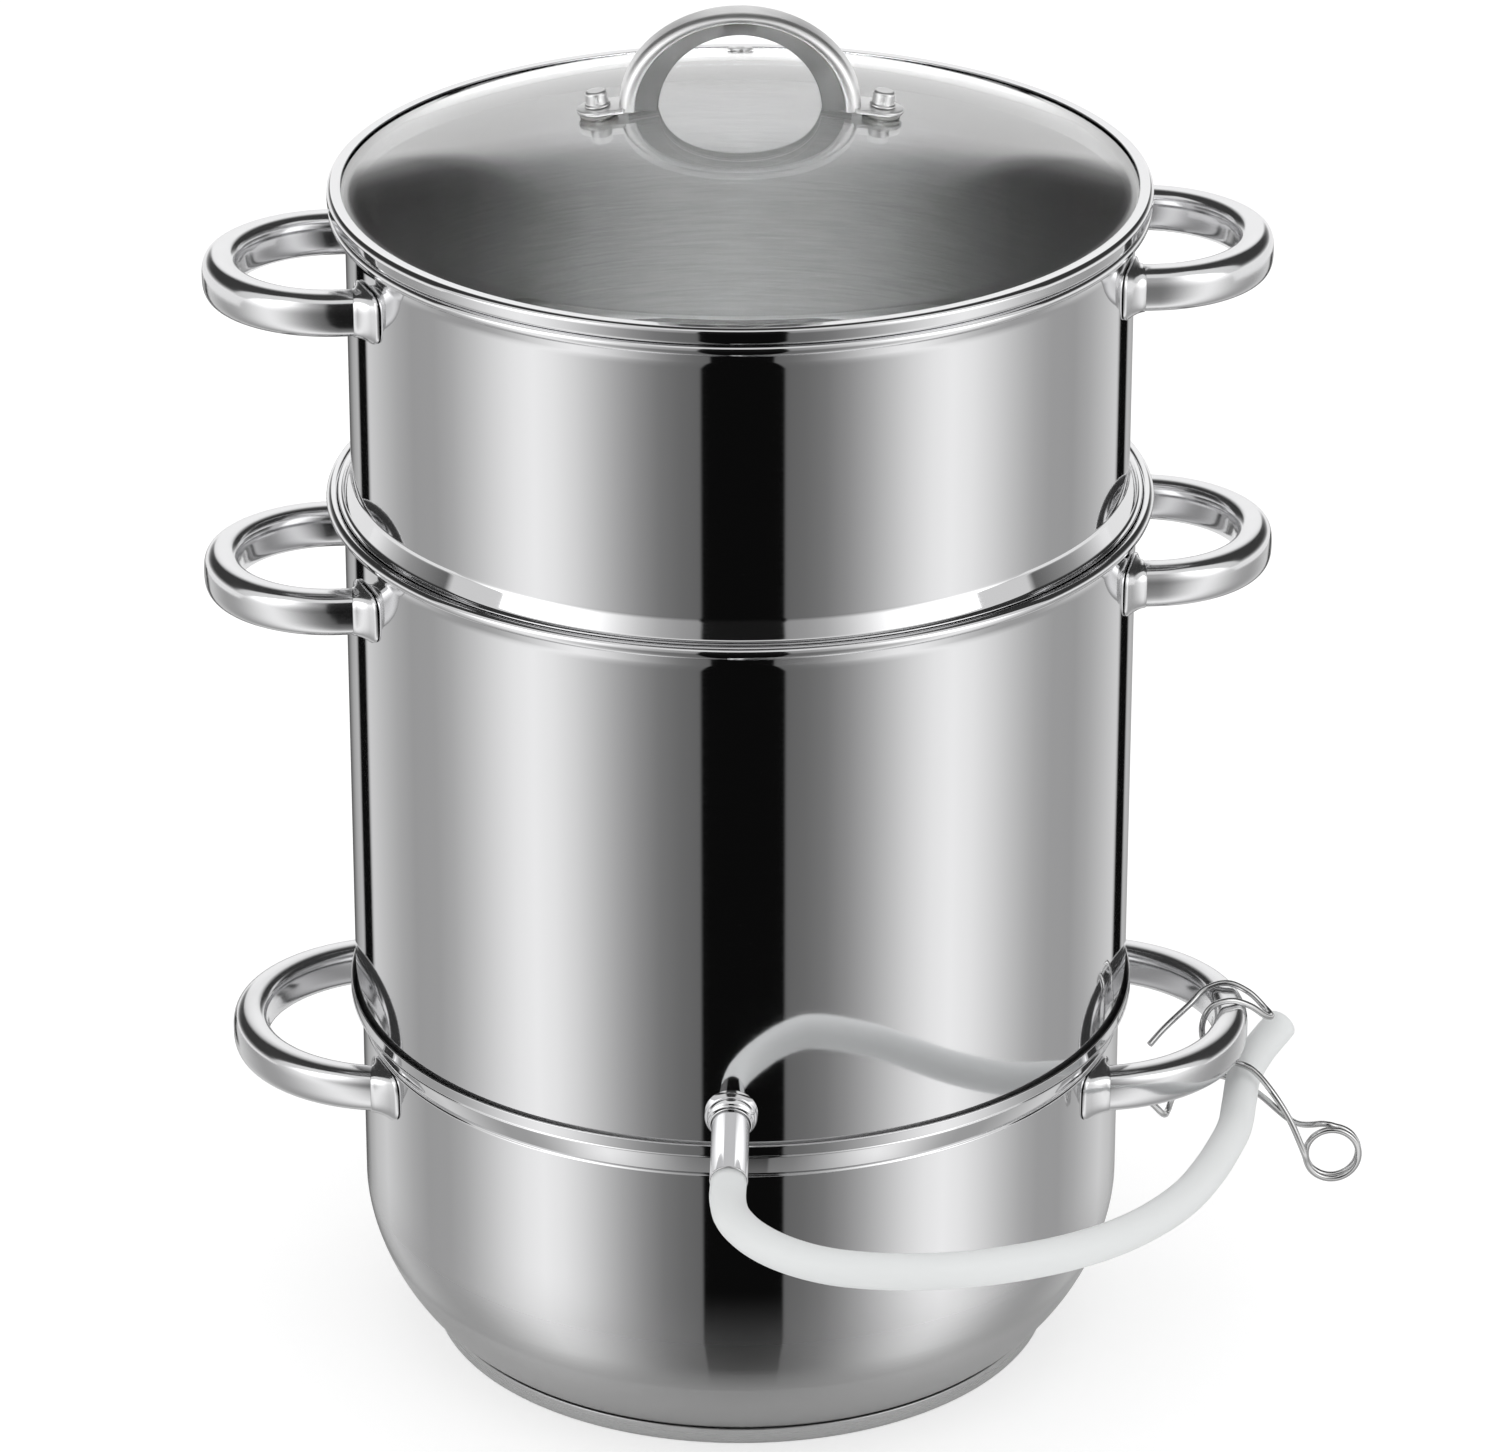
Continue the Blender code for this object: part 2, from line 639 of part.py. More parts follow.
def tube(name, path, radius, resolution, material):
    curve = bpy.data.curves.new(name, "CURVE")
    curve.dimensions = "3D"
    curve.bevel_depth = radius
    curve.bevel_resolution = resolution
    curve.use_fill_caps = True
    spline = curve.splines.new("POLY")
    spline.points.add(len(path) - 1)
    for point, place in zip(spline.points, path):
        point.co = (*place, 1.0)
    spline.use_smooth = True
    curve.materials.append(material)
    thing = bpy.data.objects.new(name, curve)
    bpy.context.scene.collection.objects.link(thing)
    return thing


def hose_place(turn_share, out_share, up_share):
    turn = math.radians(90.0) * turn_share
    radius = PAN_RADIUS + PAN_HANDLE_REACH * out_share
    height = PAN_HANDLE_LEVEL + HANDLE_HEIGHT * up_share
    return Vector((radius * math.sin(turn), -radius * math.cos(turn), height))


def make_hose(silicone):
    root, run = spout_axis()
    start = root + run * (SPOUT_LENGTH + GAP)
    points = [start, start + run * HOSE_LEAD] + [hose_place(*shares) for shares in HOSE_SHARES]
    path, length = smooth_path(points, HOSE_POINTS)
    print(f"hose length {length:.4f}")
    tube("juice_hose", path, HOSE_RADIUS, 3, silicone)


def bar_middle():
    # The middle of the bar at the outer end of the pan's right handle.
    out = PAN_RADIUS + PAN_HANDLE_REACH - HANDLE_THICKNESS / 2
    return Vector((out, 0.0, PAN_HANDLE_LEVEL))


def coil_points(start, end):
    # Points on the coil between two angles in degrees, along its axis at a steady pitch.
    centre = bar_middle() + Vector((COIL_OUT, -COIL_FRONT, -COIL_DROP))
    points = []
    for step in range(COIL_POINTS):
        angle = start + (end - start) * step / (COIL_POINTS - 1)
        turn = math.radians(COIL_LEG_ANGLE + angle)
        along = COIL_PITCH * (angle / 360.0 - COIL_TURNS / 2)
        points.append(centre + Vector((COIL_RADIUS * math.cos(turn), along,
                                       COIL_RADIUS * math.sin(turn))))
    return points


def clamp_leg(coil_end, coil_before, shares, count):
    # A leg leaves the coil straight ahead and then follows its places round the bar.
    seat = WIRE_RADIUS + WIRE_CLEARANCE
    unit = Vector((HANDLE_THICKNESS / 2 + seat, HOOK_WIDTH, HANDLE_HEIGHT / 2 + seat))
    lead = coil_end + (coil_end - coil_before).normalized() * COIL_RADIUS / 2
    places = [bar_middle() + unit * Vector(share) for share in shares]
    path, _ = smooth_path([coil_end, lead] + places, count)
    return path


def make_clamp(wire):
    # One spring wire, parted halfway round the coil, where the hook ends and the jaw begins.
    whole = 360.0 * COIL_TURNS
    break_angle = math.degrees(GAP / COIL_RADIUS)
    hook_coil = coil_points(0.0, whole / 2 - break_angle / 2)
    hook_leg = clamp_leg(hook_coil[0], hook_coil[1], HOOK_SHARES, HOOK_POINTS)
    tube("clamp_hook_wire", hook_coil[::-1] + hook_leg[1:], WIRE_RADIUS, 1, wire)
    jaw_coil = coil_points(whole / 2 + break_angle / 2, whole)
    jaw_leg = clamp_leg(jaw_coil[-1], jaw_coil[-2], JAW_SHARES, JAW_POINTS)
    tube("clamp_jaw_wire", jaw_coil + jaw_leg[1:], WIRE_RADIUS, 1, wire)


def band_foot():
    return BASKET_MOUTH_TOP + BASKET_BEAD + GAP


def band_radius():
    return BASKET_RADIUS + BASKET_MOUTH_FLARE - SHEET + BASKET_BEAD * 2 + LID_BAND_OUT


def glass_edge_radius():
    return band_radius() - LID_BAND_SHEET - GAP


def glass_edge_foot():
    return band_foot() + LID_BAND_SHEET + GAP


def dome_foot_radius():
    return band_radius() - LID_BAND_COVER - GAP


def dome_sphere_radius():
    return (dome_foot_radius() ** 2 + GLASS_RISE ** 2) / (2 * GLASS_RISE)


def dome_height(radius):
    # The upper face of the glass above the table at a distance from the axis.
    sphere = dome_sphere_radius()
    apex = glass_edge_foot() + GLASS_THICKNESS + GLASS_RISE
    return apex - (sphere - math.sqrt(sphere ** 2 - radius ** 2))


def glass_frame(x, y):
    # A frame on the upper face of the glass, with its Z square to the face.
    reach = math.hypot(x, y)
    lean = math.asin(reach / dome_sphere_radius())
    normal = Vector((x / reach * math.sin(lean), y / reach * math.sin(lean), math.cos(lean)))
    turn = normal.to_track_quat("Z", "Y").to_matrix().to_4x4()
    return Matrix.Translation((x, y, dome_height(reach))) @ turn


def put(thing, frame):
    thing.matrix_world = frame
    bpy.context.view_layer.update()
    return thing


def make_band(steel):
    foot = band_foot()
    top = foot + LID_BAND_HEIGHT
    outer = band_radius()
    inner = outer - LID_BAND_COVER
    spigot = BASKET_RADIUS - SHEET - LID_SPIGOT_CLEARANCE
    turned("lid_rim_band", [
        (spigot - LID_BAND_SHEET, foot - LID_SPIGOT_DEPTH),
        (spigot, foot - LID_SPIGOT_DEPTH),
        (spigot, foot),
        (outer, foot),
        (outer, top),
        (inner, top),
        (inner, top - LID_BAND_SHEET),
        (outer - LID_BAND_SHEET, top - LID_BAND_SHEET),
        (outer - LID_BAND_SHEET, foot + LID_BAND_SHEET),
        (spigot - LID_BAND_SHEET, foot + LID_BAND_SHEET),
    ], steel)


def make_glass(glass):
    foot = glass_edge_foot()
    edge = glass_edge_radius()
    start = dome_foot_radius()
    upper = [(start * (1 - ring / GLASS_RINGS), 0.0) for ring in range(GLASS_RINGS + 1)]
    upper = [(radius, dome_height(radius)) for radius, _ in upper]
    lower = [(radius, height - GLASS_THICKNESS) for radius, height in upper]
    outline = upper[::-1] + [(edge, foot + GLASS_THICKNESS), (edge, foot)] + lower
    dome = turned("lid_glass", outline, glass)
    for name, radius, x, y in (
        ("left_hole", SCREW_RADIUS + HOLE_CLEARANCE, -FIXING_PLACE, 0.0),
        ("right_hole", SCREW_RADIUS + HOLE_CLEARANCE, FIXING_PLACE, 0.0),
        ("vent_hole", VENT_RADIUS + GAP, 0.0, VENT_PLACE),
    ):
        drill = rod(name, radius, (0.0, 0.0, -GLASS_THICKNESS - OVERRUN), (0.0, 0.0, OVERRUN), glass)
        put(drill, glass_frame(x, y))
        cut(dome, drill)


def make_vent(steel):
    low = -GLASS_THICKNESS - GAP
    eyelet = turned("lid_vent_eyelet", [
        (VENT_BORE, low - VENT_SHEET),
        (VENT_FLANGE, low - VENT_SHEET),
        (VENT_FLANGE, low),
        (VENT_RADIUS, low),
        (VENT_RADIUS, GAP),
        (VENT_FLANGE, GAP),
        (VENT_FLANGE, GAP + VENT_SHEET),
        (VENT_BORE, GAP + VENT_SHEET),
    ], steel, steps=SMALL_STEPS)
    put(eyelet, glass_frame(0.0, VENT_PLACE))


def tab_foot():
    # The handle's tabs stand on the upper washers.
    return GAP + WASHER_THICKNESS + GAP


def make_tab(name, side, steel):
    # A flat foot with a round tip and a screw hole, in the frame of the glass under it.
    inner = -(FIXING_PLACE - ARCH_RADIUS + ARCH_SHEET)
    thick = ARCH_SHEET / 2
    bm = bmesh.new()
    size = Matrix.Diagonal((-inner, TAB_WIDTH, ARCH_SHEET, 1.0))
    place = Matrix.Translation((inner / 2, 0.0, tab_foot() + thick))
    bmesh.ops.create_cube(bm, size=1.0, matrix=place @ size)
    slab = finish_mesh(name, bm, steel)
    tip = rod(name + "_tip", TAB_WIDTH / 2, (0.0, 0.0, tab_foot()),
              (0.0, 0.0, tab_foot() + ARCH_SHEET), steel)
    fuse(slab, tip)
    hole = rod(name + "_hole", SCREW_RADIUS + HOLE_CLEARANCE, (0.0, 0.0, tab_foot() - OVERRUN),
               (0.0, 0.0, tab_foot() + OVERRUN), steel)
    cut(slab, hole)
    lean = math.asin(FIXING_PLACE / dome_sphere_radius())
    turn = Matrix.Rotation(lean, 4, "Y")
    frame = Matrix.Translation((FIXING_PLACE, 0.0, dome_height(FIXING_PLACE))) @ turn
    if side < 0:
        frame = Matrix.Rotation(math.pi, 4, "Z") @ frame
    return put(slab, frame)


def make_lid_handle(steel):
    # A channel section spun half round makes the arch, and two tabs are welded on as feet.
    half = ARCH_WIDTH / 2
    wall = ARCH_SHEET
    section = [
        (ARCH_RADIUS, -half), (ARCH_RADIUS, half), (ARCH_RADIUS - ARCH_DEPTH, half),
        (ARCH_RADIUS - ARCH_DEPTH, half - wall), (ARCH_RADIUS - wall, half - wall),
        (ARCH_RADIUS - wall, wall - half), (ARCH_RADIUS - ARCH_DEPTH, wall - half),
        (ARCH_RADIUS - ARCH_DEPTH, -half),
    ]
    foot = dome_height(FIXING_PLACE) + tab_foot() + ARCH_SHEET
    bm = bmesh.new()
    verts = [bm.verts.new((radius, y, 0.0)) for radius, y in section]
    face = bm.faces.new(verts)
    bmesh.ops.spin(bm, geom=[face], axis=(0, 1, 0), cent=(0, 0, 0), angle=-math.pi, steps=ARCH_STEPS)
    bmesh.ops.remove_doubles(bm, verts=bm.verts, dist=WELD)
    shallower = (ARCH_TOP_DEPTH - wall) / (ARCH_DEPTH - wall)
    for vert in bm.verts:
        # The channel is shallower at its crown than at its feet, in a sheet of one thickness.
        reach = math.hypot(vert.co.x, vert.co.z)
        drop = ARCH_RADIUS - reach
        crown = ARCH_LIFT - min(drop, wall) - max(drop - wall, 0.0) * shallower
        vert.co.z *= crown / reach
    bmesh.ops.translate(bm, vec=(0.0, 0.0, foot), verts=bm.verts)
    bmesh.ops.recalc_face_normals(bm, faces=bm.faces)
    arch = finish_mesh("lid_handle", bm, steel)
    for name, side in (("left_tab", -1), ("right_tab", 1)):
        fuse(arch, make_tab(name, side, steel))


def make_fixings(steel, rubber):
    nut_foot = tab_foot() + ARCH_SHEET + GAP
    under = -GLASS_THICKNESS - GAP
    head = under - WASHER_THICKNESS - GAP
    bore = SCREW_RADIUS + HOLE_CLEARANCE
    for side, sign in (("left", -1.0), ("right", 1.0)):
        frame = glass_frame(sign * FIXING_PLACE, 0.0)
        for level, foot in (("upper", GAP), ("lower", under - WASHER_THICKNESS)):
            washer = turned(f"lid_{level}_washer_{side}", [
                (bore, foot), (WASHER_RADIUS, foot),
                (WASHER_RADIUS, foot + WASHER_THICKNESS), (bore, foot + WASHER_THICKNESS),
            ], rubber, steps=SMALL_STEPS)
            put(washer, frame)
        dome = arc(0.0, nut_foot + NUT_HEIGHT - NUT_RADIUS, NUT_RADIUS, 0.0, 90.0, 4)
        dome[-1] = (0.0, dome[-1][1])
        nut = turned(f"lid_cap_nut_{side}", [(0.0, nut_foot + NUT_BORE_DEPTH),
                     (bore, nut_foot + NUT_BORE_DEPTH), (bore, nut_foot), (NUT_RADIUS, nut_foot)]
                     + dome, steel, steps=SMALL_STEPS)
        put(nut, frame)
        screw = turned(f"lid_screw_{side}", [
            (0.0, head - SCREW_HEAD_HEIGHT), (SCREW_HEAD_RADIUS * 3 / 4, head - SCREW_HEAD_HEIGHT),
            (SCREW_HEAD_RADIUS, head - SCREW_HEAD_HEIGHT / 2), (SCREW_HEAD_RADIUS, head),
            (SCREW_RADIUS, head), (SCREW_RADIUS, nut_foot + SCREW_REACH),
            (0.0, nut_foot + SCREW_REACH),
        ], steel, steps=SMALL_STEPS)
        put(screw, frame)


def main():
    clear_scene()
    steel = make_material("mirror_polished_steel", (0.72, 0.72, 0.73), 1.0, 0.06)
    satin = make_material("satin_steel", (0.62, 0.62, 0.63), 1.0, 0.28)
    wire = make_material("spring_steel_wire", (0.60, 0.60, 0.61), 1.0, 0.15)
    aluminium = make_material("aluminium_core", (0.55, 0.56, 0.57), 1.0, 0.40)
    glass = make_material("tempered_glass", (0.94, 0.97, 0.96), 0.0, 0.02, 0.95)
    silicone = make_material("milky_silicone", (0.80, 0.80, 0.80), 0.0, 0.35, 0.40)
    rubber = make_material("clear_washer_silicone", (0.75, 0.75, 0.74), 0.0, 0.45)
    make_pan(steel, satin, aluminium)
    make_kettle(steel)
    make_funnel(steel)
    make_basket(steel)
    make_handles("pan", PAN_RADIUS, PAN_HANDLE_REACH, PAN_HANDLE_HALF_WIDTH, PAN_HANDLE_LEVEL,
                 0.0, steel)
    make_handles("kettle", KETTLE_RADIUS, SIDE_HANDLE_REACH, SIDE_HANDLE_HALF_WIDTH,
                 KETTLE_HANDLE_LEVEL, UPPER_TURN, steel)
    make_handles("basket", BASKET_RADIUS, SIDE_HANDLE_REACH, SIDE_HANDLE_HALF_WIDTH,
                 BASKET_HANDLE_LEVEL, UPPER_TURN, steel)
    make_spout(steel)
    make_hose(silicone)
    make_clamp(wire)
    make_band(steel)
    make_glass(glass)
    make_vent(steel)
    make_lid_handle(satin)
    make_fixings(steel, rubber)


main()
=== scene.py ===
# A three-tier steam juicer in polished stainless steel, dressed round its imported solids.
# Lengths in the dictionaries are in millimetres unless a note says otherwise.
import math

import bpy
import bmesh
from mathutils import Matrix, Vector


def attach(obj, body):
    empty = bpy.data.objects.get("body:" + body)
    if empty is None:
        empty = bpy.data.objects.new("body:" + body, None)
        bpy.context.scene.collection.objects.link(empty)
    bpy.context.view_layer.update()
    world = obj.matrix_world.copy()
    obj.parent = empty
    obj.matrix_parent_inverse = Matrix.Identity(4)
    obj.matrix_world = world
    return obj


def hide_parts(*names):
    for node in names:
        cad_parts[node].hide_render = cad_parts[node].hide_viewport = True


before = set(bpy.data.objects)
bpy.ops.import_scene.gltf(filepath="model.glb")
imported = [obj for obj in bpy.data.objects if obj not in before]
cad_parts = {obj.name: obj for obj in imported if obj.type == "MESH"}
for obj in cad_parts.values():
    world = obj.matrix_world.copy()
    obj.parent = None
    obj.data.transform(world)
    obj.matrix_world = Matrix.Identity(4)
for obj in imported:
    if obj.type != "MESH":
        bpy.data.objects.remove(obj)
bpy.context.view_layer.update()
mm = 0.001
merge = 0.005 * mm  # verts nearer than this are one
kettleRadius = 131.0  # its wall outside, which the light and the spout follow
scene = bpy.context.scene
scene.view_settings.view_transform = "Standard"


def hexColour(code):
    channels = [int(code[place:place + 2], 16) / 255 for place in (0, 2, 4)]
    linear = [c / 12.92 if c <= 0.04045 else ((c + 0.055) / 1.055) ** 2.4 for c in channels]
    return (*linear, 1.0)


def addNode(tree, kind, inputs=None, **settings):
    node = tree.nodes.new("ShaderNode" + kind)
    for name, value in settings.items():
        setattr(node, name, value)
    for socket, value in (inputs or {}).items():
        if isinstance(value, bpy.types.NodeSocket):
            tree.links.new(value, node.inputs[socket])
        else:
            node.inputs[socket].default_value = value
    return node


def grey(level):
    return (level, level, level, 1.0)


def startMaterial(name):
    material = bpy.data.materials.new(name)
    material.use_nodes = True
    material.node_tree.nodes.clear()
    return material, material.node_tree


def fillRamp(ramp, stops):
    # Stops are (position, grey level) pairs.
    while len(ramp.elements) > 1:
        ramp.elements.remove(ramp.elements[-1])
    for index, (position, level) in enumerate(stops):
        element = ramp.elements[0] if index == 0 else ramp.elements.new(position)
        element.position = position
        element.color = grey(level)


def markScale(*sizes):
    # The scale at which the marks of a pattern come out at these sizes in millimetres.
    scales = [1 / (size * mm) for size in sizes]
    return scales if len(scales) > 1 else scales[0]


def pick(items, kind):
    return [item for item in items if isinstance(item, kind)]


def meshThing(name, bm, materials=()):
    mesh = bpy.data.meshes.new(name)
    bm.to_mesh(mesh)
    bm.free()
    for material in materials:
        mesh.materials.append(material)
    thing = bpy.data.objects.new(name, mesh)
    scene.collection.objects.link(thing)
    return thing


def finishPiece(name, bm, materials, body, replaced, sharp=35.0):
    piece = meshThing(name, bm, materials)
    piece.data.shade_smooth()
    piece.data.set_sharp_from_angle(angle=math.radians(sharp))
    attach(piece, body)
    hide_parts(*replaced)
    return piece


def applyModifiers(piece):
    graph = bpy.context.evaluated_depsgraph_get()
    mesh = bpy.data.meshes.new_from_object(piece.evaluated_get(graph))
    piece.modifiers.clear()
    piece.data = mesh


def drillHoles(piece, holes):
    # Each hole is (radius, sides, depth, matrix of its middle).
    bm = bmesh.new()
    for radius, sides, depth, place in holes:
        bmesh.ops.create_cone(bm, cap_ends=True, segments=sides, radius1=radius * mm,
                              radius2=radius * mm, depth=depth * mm, matrix=place)
    drills = meshThing("drills", bm)
    cut = piece.modifiers.new("holes", "BOOLEAN")
    cut.operation, cut.solver, cut.object = "DIFFERENCE", "EXACT", drills
    applyModifiers(piece)
    bpy.data.objects.remove(drills, do_unlink=True)


def roundCorner(bm, vert, rounding, segments):
    bmesh.ops.bevel(bm, geom=[vert], offset=rounding * mm, offset_type="OFFSET",
                    affect="VERTICES", segments=segments, profile=0.5, material=-1)


camera = {"focal": 171.44, "place": (0.0032, -2.1822, 1.2154), "pitch": 24.6, "sees": (0.1, 60.0)}


def addCamera():
    data = bpy.data.cameras.new("camera")
    data.lens = camera["focal"]
    data.clip_start, data.clip_end = camera["sees"]
    thing = bpy.data.objects.new("camera", data)
    thing.location = camera["place"]
    thing.rotation_euler = (math.radians(90.0 - camera["pitch"]), 0.0, 0.0)
    scene.collection.objects.link(thing)
    scene.camera = thing


hose = {
    "radius": 5.9, "wall": 1.7, "length": 0.3764, "samples": 180, "sides": 40,
    # The route in metres: the tube's mouth, a straight lead, then round the front to the handle.
    "route": (
        (-0.003687, -0.161341, 0.129428), (-0.003885, -0.170071, 0.127251),
        (-0.0020, -0.1800, 0.1260), (0.0045, -0.1910, 0.1250), (0.0150, -0.2005, 0.1243),
        (0.0290, -0.2075, 0.1240), (0.0470, -0.2100, 0.1236), (0.0650, -0.2065, 0.1220),
        (0.0840, -0.1980, 0.1195), (0.1030, -0.1850, 0.1163), (0.1200, -0.1670, 0.1120),
        (0.1340, -0.1460, 0.1075), (0.1460, -0.1220, 0.1030), (0.1550, -0.0960, 0.0985),
        (0.1620, -0.0700, 0.0940), (0.1670, -0.0450, 0.0885), (0.1700, -0.0220, 0.0858),
        (0.1728, -0.0030, 0.0856), (0.1785, 0.0120, 0.0875), (0.1868, 0.0240, 0.0918),
    ),
}


def smoothPath(points, count):
    # Evenly spaced points on a Catmull-Rom curve through the chosen ones.
    points = [Vector(point) for point in points]
    knots = [points[0] * 2 - points[1]] + points + [points[-1] * 2 - points[-2]]
    fine = []
    for index in range(1, len(knots) - 2):
        a, b, c, d = knots[index - 1:index + 3]
        for step in range(16):
            t = step / 16
            fine.append((b * 2 + (c - a) * t + (a * 2 - b * 5 + c * 4 - d) * t ** 2
                         + (b * 3 - a - c * 3 + d) * t ** 3) / 2)
    fine.append(knots[-2])
    lengths = [0.0]
    for near, far in zip(fine, fine[1:]):
        lengths.append(lengths[-1] + (far - near).length)
    path, index = [], 0
    for number in range(count):
        goal = lengths[-1] * number / (count - 1)
        while index < len(fine) - 2 and lengths[index + 1] < goal:
            index += 1
        share = (goal - lengths[index]) / (lengths[index + 1] - lengths[index])
        path.append(fine[index].lerp(fine[index + 1], share))
    return path


def tubeMesh(name, path, radius, resolution, caps=True):
    # A round tube along a path, made with a bevelled curve and turned into a mesh.
    curve = bpy.data.curves.new(name, "CURVE")
    curve.dimensions = "3D"
    curve.bevel_depth = radius
    curve.bevel_resolution = resolution
    curve.use_fill_caps = caps
    spline = curve.splines.new("POLY")
    spline.points.add(len(path) - 1)
    for point, place in zip(spline.points, path):
        point.co = (*place, 1.0)
    spline.use_smooth = True
    helper = bpy.data.objects.new(name + "Helper", curve)
    scene.collection.objects.link(helper)
    graph = bpy.context.evaluated_depsgraph_get()
    mesh = bpy.data.meshes.new_from_object(helper.evaluated_get(graph))
    bpy.data.objects.remove(helper, do_unlink=True)
    bm = bmesh.new()
    bm.from_mesh(mesh)
    bpy.data.meshes.remove(mesh)
    bmesh.ops.remove_doubles(bm, verts=bm.verts, dist=0.01 * mm)
    bmesh.ops.recalc_face_normals(bm, faces=bm.faces)
    return bm


def addHose(silicone):
    path = smoothPath(hose["route"], hose["samples"])
    radius = hose["radius"] * mm
    bm = tubeMesh("juiceHose", path, radius, hose["sides"] // 4, caps=False)
    piece = finishPiece("juiceHoseTube", bm, [silicone], "kettle", ["juice_hose"])
    shell = piece.modifiers.new("wall", "SOLIDIFY")
    shell.thickness = hose["wall"] * mm
    shell.offset = -1.0
    applyModifiers(piece)


def polishedSteel(name, sharpest, dullest, hazeAndShade=None):
    # 18/10 stainless sheet, drawn and mirror buffed: a clear reflection, with a faint level
    # grain from the buffing wheel that only shows as a slight breaking up of the highlights.
    material, tree = startMaterial(name)
    place = addNode(tree, "TexCoord")
    # Grain runs round the vessel: 9.1 mm long and 0.5 mm apart, coarser than real to show.
    stretch = addNode(tree, "Mapping", {
        "Vector": place.outputs["Object"], "Scale": markScale(9.1, 9.1, 0.5)})
    grain = addNode(tree, "TexNoise", {
        "Vector": stretch.outputs["Vector"], "Scale": 1.0, "Detail": 3.0})
    sheen = addNode(tree, "MapRange", {
        "Value": grain.outputs["Fac"], "To Min": sharpest, "To Max": dullest})
    bump = addNode(tree, "Bump", {
        "Height": grain.outputs["Fac"], "Strength": 0.05, "Distance": 0.01 * mm})
    metal = addNode(tree, "BsdfPrincipled", {
        "Base Color": hexColour("E3E3E4"), "Metallic": 1.0,
        "Roughness": sheen.outputs["Result"], "Normal": bump.outputs["Normal"]})
    surface = metal.outputs["BSDF"]
    if hazeAndShade:
        # The buffing fades into a fine satin round the foot, between two heights; the satin's
        # darker colour is painted shade near the floor.
        axes = addNode(tree, "SeparateXYZ", {"Vector": place.outputs["Object"]})
        fade = addNode(tree, "MapRange", {
            "Value": axes.outputs["Z"], "From Min": hazeAndShade[1] * mm, "From Max": hazeAndShade[0] * mm
        }, interpolation_type="SMOOTHSTEP")
        soft = addNode(tree, "BsdfPrincipled", {
            "Base Color": hexColour("C0C0C0"), "Metallic": 1.0, "Roughness": 0.5,
            "Normal": bump.outputs["Normal"]})
        both = addNode(tree, "MixShader", {
            "Fac": fade.outputs["Result"], 1: surface, 2: soft.outputs["BSDF"]})
        surface = both.outputs["Shader"]
    addNode(tree, "OutputMaterial", {"Surface": surface})
    return material


def brushedInsideWithPaintedFan(name, tones):
    # The inside of the vessels, brushed round on the lathe: long level scratches that smear
    # every reflection up and down the wall, with a painted fan of light in its colour.
    material, tree = startMaterial(name)
    place = addNode(tree, "TexCoord")
    # Scratches about 20 mm long, drawn 0.7 mm apart, coarser than real so that they show.
    stretch = addNode(tree, "Mapping", {
        "Vector": place.outputs["Object"], "Scale": markScale(20.0, 20.0, 0.69)})
    scratch = addNode(tree, "TexNoise", {
        "Vector": stretch.outputs["Vector"], "Scale": 1.0, "Detail": 4.0, "Roughness": 0.65})
    shade = addNode(tree, "MapRange", {
        "Value": scratch.outputs["Fac"], "From Min": 0.3, "From Max": 0.7, "To Min": 0.56,
        "To Max": 0.68})
    bump = addNode(tree, "Bump", {
        "Height": scratch.outputs["Fac"], "Strength": 0.2, "Distance": 0.02 * mm})
    around = addNode(tree, "Tangent", direction_type="RADIAL", axis="Z")
    tone = addNode(tree, "ValToRGB", {"Fac": scratch.outputs["Fac"]})
    fillRamp(tone.color_ramp, tones)
    # A painted fan of light: the colour is brightest across the front and back and painted darker
    # beside, where brushed rounds would throw their light in a fan.
    axes = addNode(tree, "SeparateXYZ", {"Vector": place.outputs["Object"]})
    aside = addNode(tree, "Math", {0: axes.outputs["X"]}, operation="ABSOLUTE")
    across = addNode(tree, "MapRange", {
        "Value": aside.outputs["Value"], "From Max": kettleRadius * mm})
    paintedFan = addNode(tree, "ValToRGB", {"Fac": across.outputs["Result"]})
    fillRamp(paintedFan.color_ramp, ((0.0, 1.0), (0.2, 0.92), (0.3, 0.84), (0.4, 0.73), (0.5, 0.51),
                              (0.6, 0.31), (0.7, 0.18), (0.8, 0.13), (1.0, 0.10)))
    paintedFanTone = addNode(tree, "VectorMath", {
        0: tone.outputs["Color"], 1: paintedFan.outputs["Color"]}, operation="MULTIPLY")
    metal = addNode(tree, "BsdfPrincipled", {
        "Base Color": paintedFanTone.outputs["Vector"], "Metallic": 0.4, "Anisotropic": 0.75,
        "Anisotropic Rotation": 0.25, "Roughness": shade.outputs["Result"],
        "Normal": bump.outputs["Normal"], "Tangent": around.outputs["Tangent"]})
    addNode(tree, "OutputMaterial", {"Surface": metal.outputs["BSDF"]})
    return material


def satinSteel(name, colour, sharpest, dullest):
    # Pressed strip with a satin belt finish: soft wide highlights with fine lines in them.
    material, tree = startMaterial(name)
    place = addNode(tree, "TexCoord")
    # Belt lines about 6 mm long and 0.4 mm apart, coarser than real so that they show.
    stretch = addNode(tree, "Mapping", {
        "Vector": place.outputs["Object"], "Scale": markScale(6.25, 0.4, 6.25)})
    lines = addNode(tree, "TexNoise", {
        "Vector": stretch.outputs["Vector"], "Scale": 1.0, "Detail": 3.0})
    sheen = addNode(tree, "MapRange", {
        "Value": lines.outputs["Fac"], "From Min": 0.3, "From Max": 0.7, "To Min": sharpest,
        "To Max": dullest})
    bump = addNode(tree, "Bump", {
        "Height": lines.outputs["Fac"], "Strength": 0.15, "Distance": 0.02 * mm})
    metal = addNode(tree, "BsdfPrincipled", {
        "Base Color": hexColour(colour), "Metallic": 1.0, "Roughness": sheen.outputs["Result"],
        "Normal": bump.outputs["Normal"]})
    addNode(tree, "OutputMaterial", {"Surface": metal.outputs["BSDF"]})
    return material


